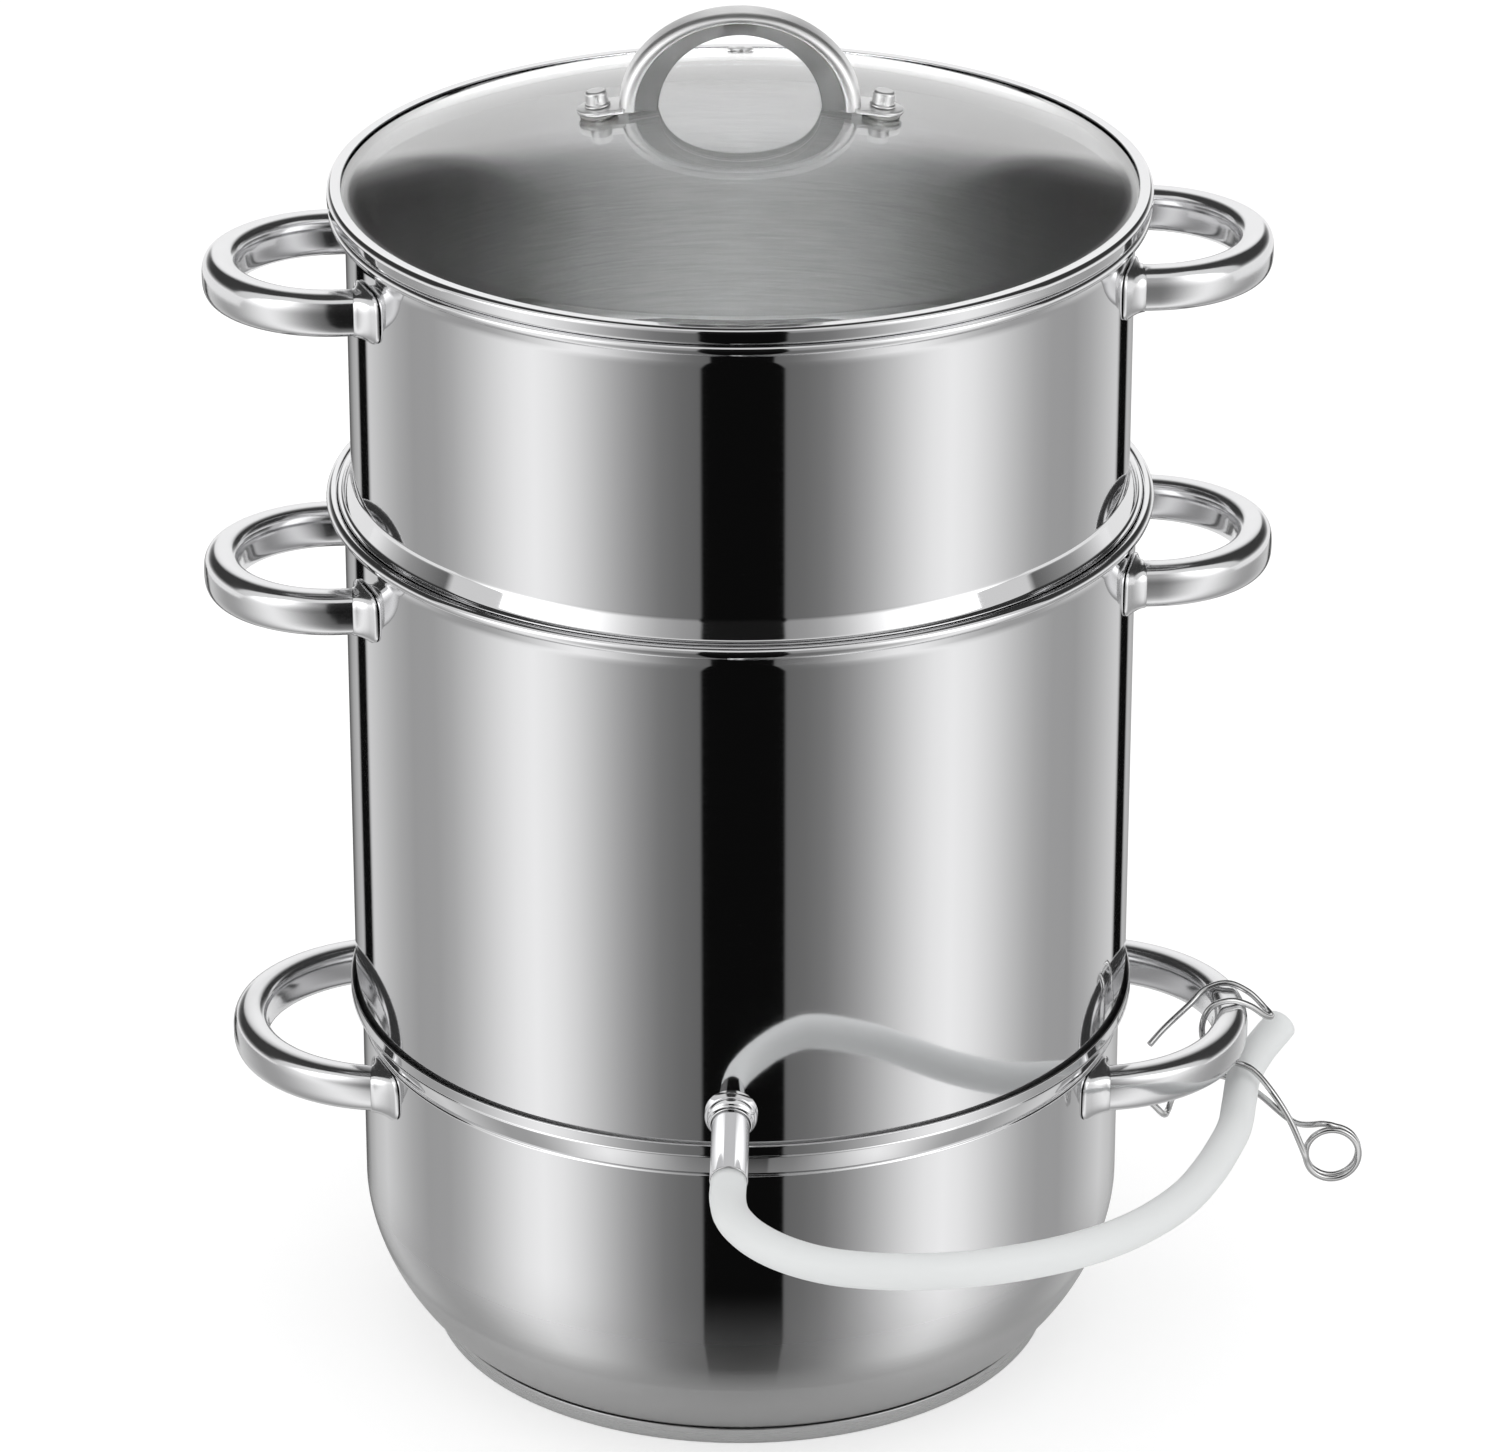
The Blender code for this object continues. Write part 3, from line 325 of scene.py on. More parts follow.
def turnedSteel():
    # The base cap, faced on a lathe: rings on the underside and level lines on its edge.
    material, tree = startMaterial("turnedStainless")
    place = addNode(tree, "TexCoord")
    axes = addNode(tree, "SeparateXYZ", {"Vector": place.outputs["Object"]})
    flat = addNode(tree, "CombineXYZ", {"X": axes.outputs["X"], "Y": axes.outputs["Y"]})
    radius = addNode(tree, "VectorMath", {"Vector": flat.outputs["Vector"]}, operation="LENGTH")
    across = addNode(tree, "Math", {
        0: radius.outputs["Value"], 1: axes.outputs["Z"]}, operation="ADD")
    # Tool lines 0.5 mm apart, counted along the radius and up the edge.
    rings = addNode(tree, "TexNoise", {
        "W": across.outputs["Value"], "Scale": markScale(0.5), "Detail": 2.0
    }, noise_dimensions="1D")
    sheen = addNode(tree, "MapRange", {
        "Value": rings.outputs["Fac"], "From Min": 0.3, "From Max": 0.7, "To Min": 0.24,
        "To Max": 0.36})
    bump = addNode(tree, "Bump", {
        "Height": rings.outputs["Fac"], "Strength": 0.3, "Distance": 0.02 * mm})
    metal = addNode(tree, "BsdfPrincipled", {
        "Base Color": hexColour("D0D0D0"), "Metallic": 1.0,
        "Roughness": sheen.outputs["Result"], "Normal": bump.outputs["Normal"]})
    addNode(tree, "OutputMaterial", {"Surface": metal.outputs["BSDF"]})
    return material


def castAluminium():
    # The disc inside the base, seen only in a cut or a lifted view: grey, dull and grainy.
    material, tree = startMaterial("castAluminium")
    place = addNode(tree, "TexCoord")
    # Grain about 1.5 mm across.
    grain = addNode(tree, "TexNoise", {
        "Vector": place.outputs["Object"], "Scale": markScale(1.5), "Detail": 3.0})
    tone = addNode(tree, "ValToRGB", {"Fac": grain.outputs["Fac"]})
    fillRamp(tone.color_ramp, ((0.3, 0.42), (0.7, 0.56)))
    sheen = addNode(tree, "MapRange", {
        "Value": grain.outputs["Fac"], "To Min": 0.38, "To Max": 0.55})
    metal = addNode(tree, "BsdfPrincipled", {
        "Base Color": tone.outputs["Color"], "Metallic": 1.0,
        "Roughness": sheen.outputs["Result"]})
    addNode(tree, "OutputMaterial", {"Surface": metal.outputs["BSDF"]})
    return material


def mottled(name, size, roughness, inputs, found=(0.0, 1.0)):
    # A body whose polish drifts between two roughnesses, in patches of a size in millimetres.
    material, tree = startMaterial(name)
    place = addNode(tree, "TexCoord")
    patches = addNode(tree, "TexNoise", {
        "Vector": place.outputs["Object"], "Scale": markScale(size), "Detail": 2.0})
    sheen = addNode(tree, "MapRange", {
        "Value": patches.outputs["Fac"], "From Min": found[0], "From Max": found[1],
        "To Min": roughness[0], "To Max": roughness[1]})
    body = addNode(tree, "BsdfPrincipled", {**inputs, "Roughness": sheen.outputs["Result"]})
    addNode(tree, "OutputMaterial", {"Surface": body.outputs["BSDF"]})
    return material


def springWire():
    # Nickel plated spring wire: bright, a little softer than the buffed sheet, its drawn skin
    # uneven in patches of about a millimetre.
    return mottled("nickelledSpringWire", 1.1, (0.10, 0.19),
                   {"Base Color": hexColour("D6D6D6"), "Metallic": 1.0}, found=(0.3, 0.7))


def temperedGlass():
    # Soda-lime glass, tempered: clear with a faint cool tint in its thickness. The polish
    # drifts over 20 mm, which only just softens its reflections, and the coat stands for how
    # strongly the dome throws back the room.
    return mottled("temperedSodaLimeGlass", 20.0, (0.0, 0.02),
                   {"Base Color": hexColour("FBFCFC"), "IOR": 1.52, "Transmission Weight": 1.0,
                    "Coat Weight": 1.0, "Coat Roughness": 0.0, "Coat IOR": 2.3})


def milkySilicone():
    # Extruded silicone tube: milky and soft, with a satin skin that clouds over 12 mm and a
    # light core.
    return mottled("milkyExtrudedSilicone", 12.5, (0.42, 0.54),
                   {"Base Color": hexColour("E9EBEB"), "IOR": 1.41, "Specular IOR Level": 0.3,
                    "Subsurface Weight": 0.5, "Subsurface Radius": (1.0, 1.0, 1.0),
                    "Subsurface Scale": 2.5 * mm})


def washerSilicone():
    # Moulded washer silicone: greyish, finely speckled and matt, slightly see-through at its rim.
    return mottled("mouldedWasherSilicone", 0.67, (0.35, 0.55),
                   {"Base Color": hexColour("CDCDCB"), "Transmission Weight": 0.3})


studio = {
    "floorRadius": 30.0, "floorPaint": "FBFBFB", "floorSeen": "C4C4C4", "floorLift": 0.58,
    "softLight": 0.98,
    # Grey levels in the reflections, by the share of the vessel's half width where they show.
    "stripes": (
        (0.000, 0.004), (0.100, 0.004), (0.1035, 0.150), (0.152, 0.175), (0.203, 0.225),
        (0.254, 0.325), (0.306, 0.465), (0.357, 0.635), (0.408, 0.82), (0.46, 0.98),
        (0.51, 1.06), (0.56, 0.98), (0.613, 0.82), (0.66, 0.66), (0.716, 0.49), (0.76, 0.41),
        (0.818, 0.395), (0.86, 0.48), (0.895, 0.59), (0.934, 0.72), (0.965, 0.60),
        (0.985, 0.42), (1.0, 0.12),
    ),
    # Thin dark lines beside the wall's edges, from this far out and up to this height (metres).
    "sideLine": ((0.0, 0.0), (0.940, 0.0), (0.944, 1.0), (0.966, 1.0), (0.970, 0.0)),
    "sideFrom": (0.245, 0.26), "sideUpTo": 0.02, "black": 0.004,
    "underShadeGrey": 0.40, "underReach": 0.02,  # the floor right under the vessel
    "palesFrom": 0.10, "palesTo": 0.60, "palest": 2.2,  # heights on the card, and its gain
    "backWall": (
        (0.0, 1.0), (0.20, 1.0), (0.33, 1.05), (0.45, 1.12), (0.52, 0.95), (0.57, 0.62),
        (0.62, 0.36), (0.67, 0.24), (0.72, 0.12), (0.78, 0.06), (0.85, 0.04), (1.0, 0.04),
    ),
    # How much lower the wall's soft top edge stands, by how far it is to the side.
    "wallSag": ((0.0, 0.0), (0.10, 0.05), (0.15, 0.09), (0.20, 0.13), (0.22, 0.17),
                (0.25, 0.33), (0.30, 0.42), (0.60, 0.50), (1.0, 0.50)),
    "overHead": ((0.0, 0.7), (0.5, 0.8), (0.93, 0.85), (0.965, 0.04), (1.0, 0.04)),
    "seam": 0.02,  # half the width over which the one passes into the other
    # Light on the inside, from straight in front (0) round to straight behind (1).
    "insideFall": (
        (0.0, 1.0), (0.03, 0.90), (0.067, 0.70), (0.117, 0.46), (0.18, 0.24), (0.25, 0.11),
        (0.37, 0.03), (0.50, 0.008), (1.0, 0.002),
    ),
    # It comes in over the front rim, and little of it from low down.
    "insideLevel": ((0.0, 0.0), (0.12, 0.1), (0.30, 0.25), (0.50, 0.55), (0.70, 1.0),
                    (0.90, 1.0), (1.0, 0.6)),
    "insideGain": 36.0,
    # The tent in metres, its columns and rows, and how they crowd towards the vessel.
    "tentReach": 1.20, "tentHeight": 1.30, "pot": kettleRadius * mm, "columns": 480,
    "rows": 60, "floorShare": 0.8, "crowding": 1.6, "sideFade": 1.6, "offCentre": 0.008,
    "clear": 0.0006,
}


def addWorld():
    world = bpy.data.worlds.new("studioLight")
    world.use_nodes = True
    tree = world.node_tree
    tree.nodes.clear()
    scene.world = world
    place = addNode(tree, "TexCoord")
    axes = addNode(tree, "SeparateXYZ", {"Vector": place.outputs["Generated"]})
    # A white wall stands behind the vessel, and its top edge shows as a soft arc in the glass.
    side = addNode(tree, "Math", {0: axes.outputs["X"]}, operation="ABSOLUTE")
    sag = addNode(tree, "ValToRGB", {"Fac": side.outputs["Value"]})
    fillRamp(sag.color_ramp, studio["wallSag"])
    height = addNode(tree, "Math", {
        0: sag.outputs["Color"], 1: axes.outputs["Z"]}, operation="ADD")
    backWall = addNode(tree, "ValToRGB", {"Fac": height.outputs["Value"]})
    fillRamp(backWall.color_ramp, studio["backWall"])
    # Over the camera the cloth is white, with a dark gap straight above.
    overHead = addNode(tree, "ValToRGB", {"Fac": axes.outputs["Z"]})
    fillRamp(overHead.color_ramp, studio["overHead"])
    behind = addNode(tree, "MapRange", {
        "Value": axes.outputs["Y"], "From Min": -studio["seam"], "From Max": studio["seam"]})
    room = addNode(tree, "Mix", {
        "Factor": behind.outputs["Result"], "A": overHead.outputs["Color"],
        "B": backWall.outputs["Color"]}, data_type="RGBA")
    # What reaches the inside through the glass comes from the camera's side, little from beside.
    flat = addNode(tree, "CombineXYZ", {"X": axes.outputs["X"], "Y": axes.outputs["Y"]})
    aim = addNode(tree, "VectorMath", {"Vector": flat.outputs["Vector"]}, operation="NORMALIZE")
    aimAxes = addNode(tree, "SeparateXYZ", {"Vector": aim.outputs["Vector"]})
    turn = addNode(tree, "MapRange", {
        "Value": aimAxes.outputs["Y"], "From Min": -1.0, "From Max": 1.0})
    insideFall = addNode(tree, "ValToRGB", {"Fac": turn.outputs["Result"]})
    fillRamp(insideFall.color_ramp, studio["insideFall"])
    insideLevel = addNode(tree, "ValToRGB", {"Fac": axes.outputs["Z"]})
    fillRamp(insideLevel.color_ramp, studio["insideLevel"])
    overRim = addNode(tree, "VectorMath", {
        0: insideFall.outputs["Color"], 1: insideLevel.outputs["Color"]}, operation="MULTIPLY")
    insideLight = addNode(tree, "VectorMath", {
        0: overRim.outputs["Vector"], "Scale": studio["insideGain"]}, operation="SCALE")
    rays = addNode(tree, "LightPath")
    through = addNode(tree, "Mix", {
        "Factor": rays.outputs["Is Transmission Ray"], "A": room.outputs["Result"],
        "B": insideLight.outputs["Vector"]}, data_type="RGBA")
    shiny = addNode(tree, "Math", {
        0: rays.outputs["Is Glossy Ray"], 1: rays.outputs["Is Transmission Ray"]
    }, operation="MAXIMUM")
    soft = addNode(tree, "Mix", {
        "Factor": shiny.outputs["Value"], "A": grey(studio["softLight"]),
        "B": through.outputs["Result"]}, data_type="RGBA")
    seen = addNode(tree, "Mix", {
        "Factor": rays.outputs["Is Camera Ray"], "A": soft.outputs["Result"], "B": grey(1.0)
    }, data_type="RGBA")
    light = addNode(tree, "Background", {"Color": seen.outputs["Result"], "Strength": 1.0})
    addNode(tree, "OutputWorld", {"Surface": light.outputs["Background"]})


def addFloor():
    material, tree = startMaterial("paleStudioFloor")
    paint = addNode(tree, "BsdfDiffuse", {"Color": hexColour(studio["floorPaint"])})
    # Seen directly it is lit through from below, which leaves the shadow but lightens it.
    seen = addNode(tree, "BsdfDiffuse", {"Color": hexColour(studio["floorSeen"])})
    lift = addNode(tree, "Emission", {"Color": grey(studio["floorLift"]), "Strength": 1.0})
    lit = addNode(tree, "AddShader", {0: seen.outputs["BSDF"], 1: lift.outputs["Emission"]})
    rays = addNode(tree, "LightPath")
    both = addNode(tree, "MixShader", {
        "Fac": rays.outputs["Is Camera Ray"], 1: paint.outputs["BSDF"], 2: lit.outputs["Shader"]})
    addNode(tree, "OutputMaterial", {"Surface": both.outputs["Shader"]})
    bm = bmesh.new()
    bmesh.ops.create_circle(bm, cap_ends=True, segments=96, radius=studio["floorRadius"])
    meshThing("studioFloor", bm, [material])


def addLightTent():
    # A curved card round the vessel, seen only in its reflections: white cloth with a black
    # strip in front and grey falls between, as for photographing polished metal.
    material, tree = startMaterial("lightTentCloth")
    share, near, height = (addNode(tree, "Attribute", attribute_name=name).outputs["Fac"]
                           for name in ("share", "near", "height"))
    stripes = addNode(tree, "ValToRGB", {"Fac": share})
    fillRamp(stripes.color_ramp, studio["stripes"])
    side = addNode(tree, "ValToRGB", {"Fac": share})
    fillRamp(side.color_ramp, studio["sideLine"])
    # The thin side lines are only seen from higher than the pan's lip.
    farOut = addNode(tree, "MapRange", {
        "Value": near, "From Min": studio["sideFrom"][0], "From Max": studio["sideFrom"][1]})
    low = addNode(tree, "MapRange", {
        "Value": height, "From Min": studio["sideUpTo"], "From Max": 0.0})
    lineOn = addNode(tree, "Math", {
        0: farOut.outputs["Result"], 1: low.outputs["Result"]}, operation="MULTIPLY")
    lined = addNode(tree, "Math", {
        0: lineOn.outputs["Value"], 1: side.outputs["Color"]}, operation="MULTIPLY")
    level = addNode(tree, "Mix", {
        "Factor": lined.outputs["Value"], "A": stripes.outputs["Color"],
        "B": grey(studio["black"])}, data_type="RGBA")
    # The upright part of the card pales upwards.
    paleness = addNode(tree, "MapRange", {
        "Value": height, "From Min": studio["palesFrom"], "From Max": studio["palesTo"],
        "To Min": 1.0, "To Max": studio["palest"]})
    paled = addNode(tree, "VectorMath", {
        0: level.outputs["Result"], "Scale": paleness.outputs["Result"]}, operation="SCALE")
    # Right under the vessel the card glows an even grey: painted shade of the floor in the
    # vessel's shadow.
    under = addNode(tree, "MapRange", {
        "Value": near, "From Min": 0.0, "From Max": studio["underReach"], "To Min": 1.0,
        "To Max": 0.0})
    evened = addNode(tree, "Mix", {
        "Factor": under.outputs["Result"], "A": paled.outputs["Vector"],
        "B": grey(studio["underShadeGrey"])}, data_type="RGBA")
    rays = addNode(tree, "LightPath")
    glow = addNode(tree, "Emission", {"Color": evened.outputs["Result"], "Strength": 1.0})
    clear = addNode(tree, "BsdfTransparent")
    both = addNode(tree, "MixShader", {
        "Fac": rays.outputs["Is Transmission Ray"], 1: glow.outputs["Emission"],
        2: clear.outputs["BSDF"]})
    addNode(tree, "OutputMaterial", {"Surface": both.outputs["Shader"]})

    bm = bmesh.new()
    bmesh.ops.create_grid(bm, x_segments=studio["columns"], y_segments=studio["rows"], size=1.0)
    layers = {name: bm.verts.layers.float.new(name) for name in ("share", "near", "height")}
    pot, reach, floorShare = studio["pot"], studio["tentReach"], studio["floorShare"]
    for vert in bm.verts:
        turn = vert.co.x * math.pi / 2
        run = (vert.co.y + 1) / 2
        foot = Vector((pot * math.sin(turn), -pot * math.cos(turn), 0.0))
        # From the foot on the vessel's wall the card runs the way that the camera sees mirrored.
        aim = 2 * turn + math.atan2(foot.x - camera["place"][0], foot.y - camera["place"][1])
        aim = max(-math.pi, min(math.pi, aim))
        ahead = Vector((math.sin(aim), -math.cos(aim), 0.0))
        along = foot.dot(ahead)
        full = math.sqrt(along ** 2 + reach ** 2 - pot ** 2) - along
        outward = min(run / floorShare, 1.0) ** studio["crowding"] * full
        # The upright part stands in front only and runs out towards the sides.
        rise = max(run - floorShare, 0.0) / (1 - floorShare)
        rise *= max(0.0, min(1.0, math.cos(aim) * studio["sideFade"]))
        up = rise * studio["tentHeight"]
        vert[layers["share"]] = abs(math.sin(turn) - studio["offCentre"])
        vert[layers["near"]] = outward
        vert[layers["height"]] = up
        vert.co = foot + ahead * outward + Vector((0.0, 0.0, studio["clear"] + up))
    tent = meshThing("lightTent", bm, [material])
    for ray in ("camera", "diffuse", "transmission", "shadow", "volume_scatter"):
        setattr(tent, "visible_" + ray, False)


def spinOutline(corners, steps=192, closed=True, hold=0.25):
    # Corners are (radius, height), or with a rounding and its segments too. The roundings are
    # bevels, loops are held beside them so that flat walls stay flat, and the outline is spun.
    bm = bmesh.new()
    verts = [bm.verts.new((corner[0] * mm, 0.0, corner[1] * mm)) for corner in corners]
    pairs = list(zip(verts, verts[1:]))
    if closed:
        pairs.append((verts[-1], verts[0]))
    for pair in pairs:
        bm.edges.new(pair)
    for vert, corner in zip(verts, corners):
        if len(corner) > 2:
            roundCorner(bm, vert, *corner[2:])
    for edge in [edge for edge in bm.edges if edge.calc_length() > 4 * hold * mm]:
        first, last = edge.verts
        _, held = bmesh.utils.edge_split(edge, first, hold * mm / edge.calc_length())
        rest = next(e for e in held.link_edges if last in e.verts)
        bmesh.utils.edge_split(rest, last, hold * mm / rest.calc_length())
    bmesh.ops.spin(bm, geom=bm.verts[:] + bm.edges[:], axis=(0, 0, 1), cent=(0, 0, 0),
                   angle=math.tau, steps=steps, use_merge=True)
    bmesh.ops.remove_doubles(bm, verts=bm.verts, dist=merge)
    bmesh.ops.recalc_face_normals(bm, faces=bm.faces)
    return bm


def markInside(bm, wallUpTo, floorUpTo, floorIndex=1):
    # The inner wall and the floor below two heights take the materials of the inside.
    for face in bm.faces:
        centre, normal = face.calc_center_median(), face.normal
        if normal.to_2d().dot(centre.to_2d()) < 0 and centre.z < wallUpTo * mm:
            face.material_index = 1
        if normal.z > 0.7 and centre.z < floorUpTo * mm:
            face.material_index = floorIndex


pan = {
    "inside": (128.0, 20.0),  # the brushed wall and floor reach up to here
    "outline": (
        (0.0, 6.3), (105.40, 6.3, 0.4, 2), (129.0, 23.7, 29.29, 28), (129.0, 113.9, 0.25, 3),
        (128.45, 114.5, 0.25, 3), (132.8, 122.9, 0.15, 3), (132.45, 123.3, 0.15, 3),
        (132.8, 127.1, 0.38, 4),
        (132.0, 127.1, 0.38, 4), (131.8, 123.0, 1.0, 4), (127.7, 114.2, 1.0, 4),
        (128.2, 112.5, 0.5, 2), (128.2, 24.25, 28.75, 24), (105.14, 7.1, 0.4, 2), (0.0, 7.1),
    ),
    "cap": (
        (0.0, 0.0), (106.3, 0.0, 1.8, 6), (106.3, 6.0, 0.3, 3), (105.5, 6.0, 0.2, 2),
        (105.5, 0.8, 1.0, 3), (0.0, 0.8),
    ),
}


def addPan(steel, brushed, turnedCap):
    bm = spinOutline(pan["outline"], closed=False)
    markInside(bm, *pan["inside"])
    finishPiece("panShell", bm, [steel, brushed], "pan", ["pan_body"])
    bm = spinOutline(pan["cap"], closed=False)
    finishPiece("panBaseDisc", bm, [turnedCap], "pan", ["pan_base_cap"])


kettle = {
    "inside": (302.0, 112.0),
    "outline": (
        (38.3, 108.0), (127.8, 108.0, 5.0, 8), (127.8, 114.2, 0.3, 2), (131.0, 121.61, 0.6, 4),
        (131.0, 296.0, 1.0, 4), (132.68, 300.9, 0.4, 3), (136.8, 300.9, 2.1, 10),
        (136.8, 305.1, 2.1, 10), (132.6, 305.1, 2.1, 8), (132.6, 303.0, 0.3, 2),
        (130.2, 296.0, 0.8, 4), (130.2, 121.61, 0.6, 3), (127.0, 114.2, 0.3, 2),
        (127.0, 108.8, 4.2, 8), (38.3, 108.8),
    ),
    "funnel": (
        (38.0, 106.5), (38.0, 109.1, 0.2, 2), (43.0, 109.1), (43.0, 109.9, 0.2, 2),
        (38.0, 109.9, 1.0, 4), (17.0, 236.0, 4.0, 6), (17.0, 248.0, 0.35, 3),
        (16.2, 248.0, 0.35, 3), (16.2, 236.0, 4.0, 6), (37.2, 109.9, 1.0, 4), (37.2, 106.5),
    ),
}


def addKettle(steel, brushed):
    bm = spinOutline(kettle["outline"])
    markInside(bm, *kettle["inside"])
    finishPiece("kettleShell", bm, [steel, brushed], "kettle", ["kettle_body"])
    bm = spinOutline(kettle["funnel"], steps=96)
    finishPiece("steamFunnel", bm, [steel], "kettle", ["kettle_steam_funnel"])


basket = {
    "inside": (403.0, 290.0),
    "outline": (
        (0.0, 284.0), (129.8, 284.0, 9.0, 10), (129.8, 296.0, 0.8, 3), (131.9, 302.2, 0.5, 3),
        (131.9, 304.2, 0.3, 2), (133.0, 304.7, 0.25, 3), (133.0, 305.3, 0.3, 3),
        (131.35, 305.3, 0.7, 5), (128.5, 311.4, 0.7, 5), (128.5, 397.5, 1.0, 4),
        (130.0, 402.0, 0.4, 3), (133.9, 402.0, 2.0, 10), (133.9, 406.0, 2.0, 10),
        (129.9, 406.0, 2.0, 8), (129.9, 404.0, 0.3, 2), (127.7, 397.5, 0.8, 4),
        (127.7, 311.4, 0.8, 4), (131.1, 303.0, 0.5, 3), (129.0, 296.0, 0.8, 3),
        (129.0, 284.8, 8.2, 10), (0.0, 284.8),
    ),
    "hole": 3.0, "pitch": 21.0, "rings": 4, "perRing": 6, "holeSides": 16,
    "drilledAt": 284.4, "drillDepth": 6.0,
}


def addBasket(steel, brushed, shadedFloor):
    bm = spinOutline(basket["outline"], closed=False)
    markInside(bm, *basket["inside"], floorIndex=2)
    piece = finishPiece("basketShell", bm, [steel, brushed, shadedFloor], "basket",
                        ["basket_body"])
    holes = []
    for ring in range(basket["rings"] + 1):
        count = max(1, basket["perRing"] * ring)
        for index in range(count):
            angle = math.tau * index / count
            reach = basket["pitch"] * ring * mm
            place = Matrix.Translation((reach * math.cos(angle), reach * math.sin(angle),
                                        basket["drilledAt"] * mm))
            holes.append((basket["hole"], basket["holeSides"], basket["drillDepth"], place))
    drillHoles(piece, holes)


handles = {
    "height": 14.5, "thickness": 12.0, "power": 3.0, "sides": 56, "bendSteps": 56, "seat": 1.2,
    "buried": 16.0, "pastLeg": 1.0,  # how far the legs run in before the feet cut them off
    # Each foot from the wall to the leg: out, half width, half height, squareness, straightness.
    "foot": (
        (0.3, 11.0, 8.85, 3.6, 0.0), (0.9, 11.0, 8.85, 3.6, 0.0), (1.3, 10.6, 8.6, 3.5, 0.0),
        (1.9, 9.2, 8.15, 3.3, 0.1), (2.7, 7.7, 7.8, 3.1, 0.4), (3.6, 6.7, 7.6, 3.0, 0.8),
        (4.2, 6.4, 7.55, 3.0, 1.0), (4.4, 6.2, 7.4, 3.0, 1.0), (4.4, 5.4, 6.6, 3.0, 1.0),
    ),
    "tiers": (
        # tier, wall radius, half width, reach, level, turn in degrees
        ("pan", 129.0, 49.0, 44.5, 104.8, 0.0),
        ("kettle", kettleRadius, 37.0, 46.8, 279.5, 5.0),
        ("basket", 128.5, 37.0, 46.8, 383.8, 5.0),
    ),
}


def squareOff(angle, half, tall, power):
    # A point on an oval with flattened sides.
    across, up = math.cos(angle), math.sin(angle)
    return (math.copysign(abs(across) ** (2 / power), across) * half,
            math.copysign(abs(up) ** (2 / power), up) * tall)


def loopHandle(wall, halfWidth, reach):
    # A squared tube: a straight leg, half a turn, and a straight leg, cut to sit in its feet.
    bend = wall + reach - handles["thickness"] / 2 - halfWidth
    root = wall - handles["buried"]
    bm = bmesh.new()
    bmesh.ops.create_circle(bm, segments=handles["sides"], radius=1.0)
    for vert in bm.verts:
        across, up = squareOff(math.atan2(vert.co.y, vert.co.x), handles["thickness"] / 2,
                               handles["height"] / 2, handles["power"])
        vert.co = Vector((root, across - halfWidth, up)) * mm

    def extend(edges, run):
        made = bmesh.ops.extrude_edge_only(bm, edges=edges)["geom"]
        bmesh.ops.translate(bm, vec=(run * mm, 0.0, 0.0), verts=pick(made, bmesh.types.BMVert))
        return [edge for edge in pick(made, bmesh.types.BMEdge) if len(edge.link_faces) == 1]

    front = extend(bm.edges[:], bend - root)
    spun = bmesh.ops.spin(bm, geom=front + list({vert for edge in front for vert in edge.verts}),
                          axis=(0, 0, 1), cent=(bend * mm, 0.0, 0.0), angle=math.pi,
                          steps=handles["bendSteps"])["geom_last"]
    extend(pick(spun, bmesh.types.BMEdge), root - bend)
    bmesh.ops.remove_doubles(bm, verts=bm.verts, dist=merge)
    seat = wall + handles["seat"]
    lean = math.asin(halfWidth / seat)
    for side in (-1, 1):
        out = Vector((math.cos(lean), side * math.sin(lean), 0.0))
        leg = [vert for vert in bm.verts
               if vert.co.y * side > 0 and vert.co.x < (bend + handles["pastLeg"]) * mm]
        around = {item for vert in leg for item in [vert, *vert.link_edges, *vert.link_faces]}
        cut = bmesh.ops.bisect_plane(bm, geom=list(around), plane_co=out * seat * mm, plane_no=out,
                                     clear_inner=True)["geom_cut"]
        bmesh.ops.contextual_create(bm, geom=pick(cut, bmesh.types.BMEdge))
    bmesh.ops.recalc_face_normals(bm, faces=bm.faces)
    return bm


def handleFoot(wall, halfWidth, side):
    # A pressed foot that flares from the leg's end to a pad against the wall.
    bm = bmesh.new()
    angle = bm.verts.layers.float.new("angle")
    ring = bmesh.ops.create_circle(bm, segments=handles["sides"], radius=1.0)["verts"]
    for vert in ring:
        vert[angle] = math.atan2(vert.co.y, vert.co.x)
    first = edges = bm.edges[:]
    for index, (out, half, tall, power, straight) in enumerate(handles["foot"]):
        if index:
            made = bmesh.ops.extrude_edge_only(bm, edges=edges)["geom"]
            ring = pick(made, bmesh.types.BMVert)
            edges = [edge for edge in pick(made, bmesh.types.BMEdge)
                     if len(edge.link_faces) == 1]
        radius = wall + out
        for vert in ring:
            across, up = squareOff(vert[angle], half, tall, power)
            y = side * halfWidth + across
            curved = math.sqrt(radius ** 2 - y ** 2)
            flat = math.sqrt(radius ** 2 - halfWidth ** 2)
            vert.co = Vector((curved + (flat - curved) * straight, y, up)) * mm
    bmesh.ops.contextual_create(bm, geom=first)
    bmesh.ops.contextual_create(bm, geom=edges)
    bmesh.ops.recalc_face_normals(bm, faces=bm.faces)
    return bm


def addHandles(steel):
    for tier, wall, halfWidth, reach, level, turn in handles["tiers"]:
        for side, facing in (("right", turn), ("left", turn + 180.0)):
            move = (Matrix.Translation((0, 0, level * mm))
                    @ Matrix.Rotation(math.radians(facing), 4, "Z"))
            bm = loopHandle(wall, halfWidth, reach)
            bmesh.ops.transform(bm, matrix=move, verts=bm.verts)
            finishPiece(f"{tier}Loop_{side}", bm, [steel], tier, [f"{tier}_handle_{side}"])
            for way in (-1, 1):
                end = "far" if way * (1 if side == "right" else -1) > 0 else "near"
                bm = handleFoot(wall, halfWidth, way)
                bmesh.ops.transform(bm, matrix=move, verts=bm.verts)
                finishPiece(f"{tier}Foot_{side}_{end}", bm, [steel], tier,
                            [f"{tier}_bracket_{side}_{end}"], sharp=50.0)


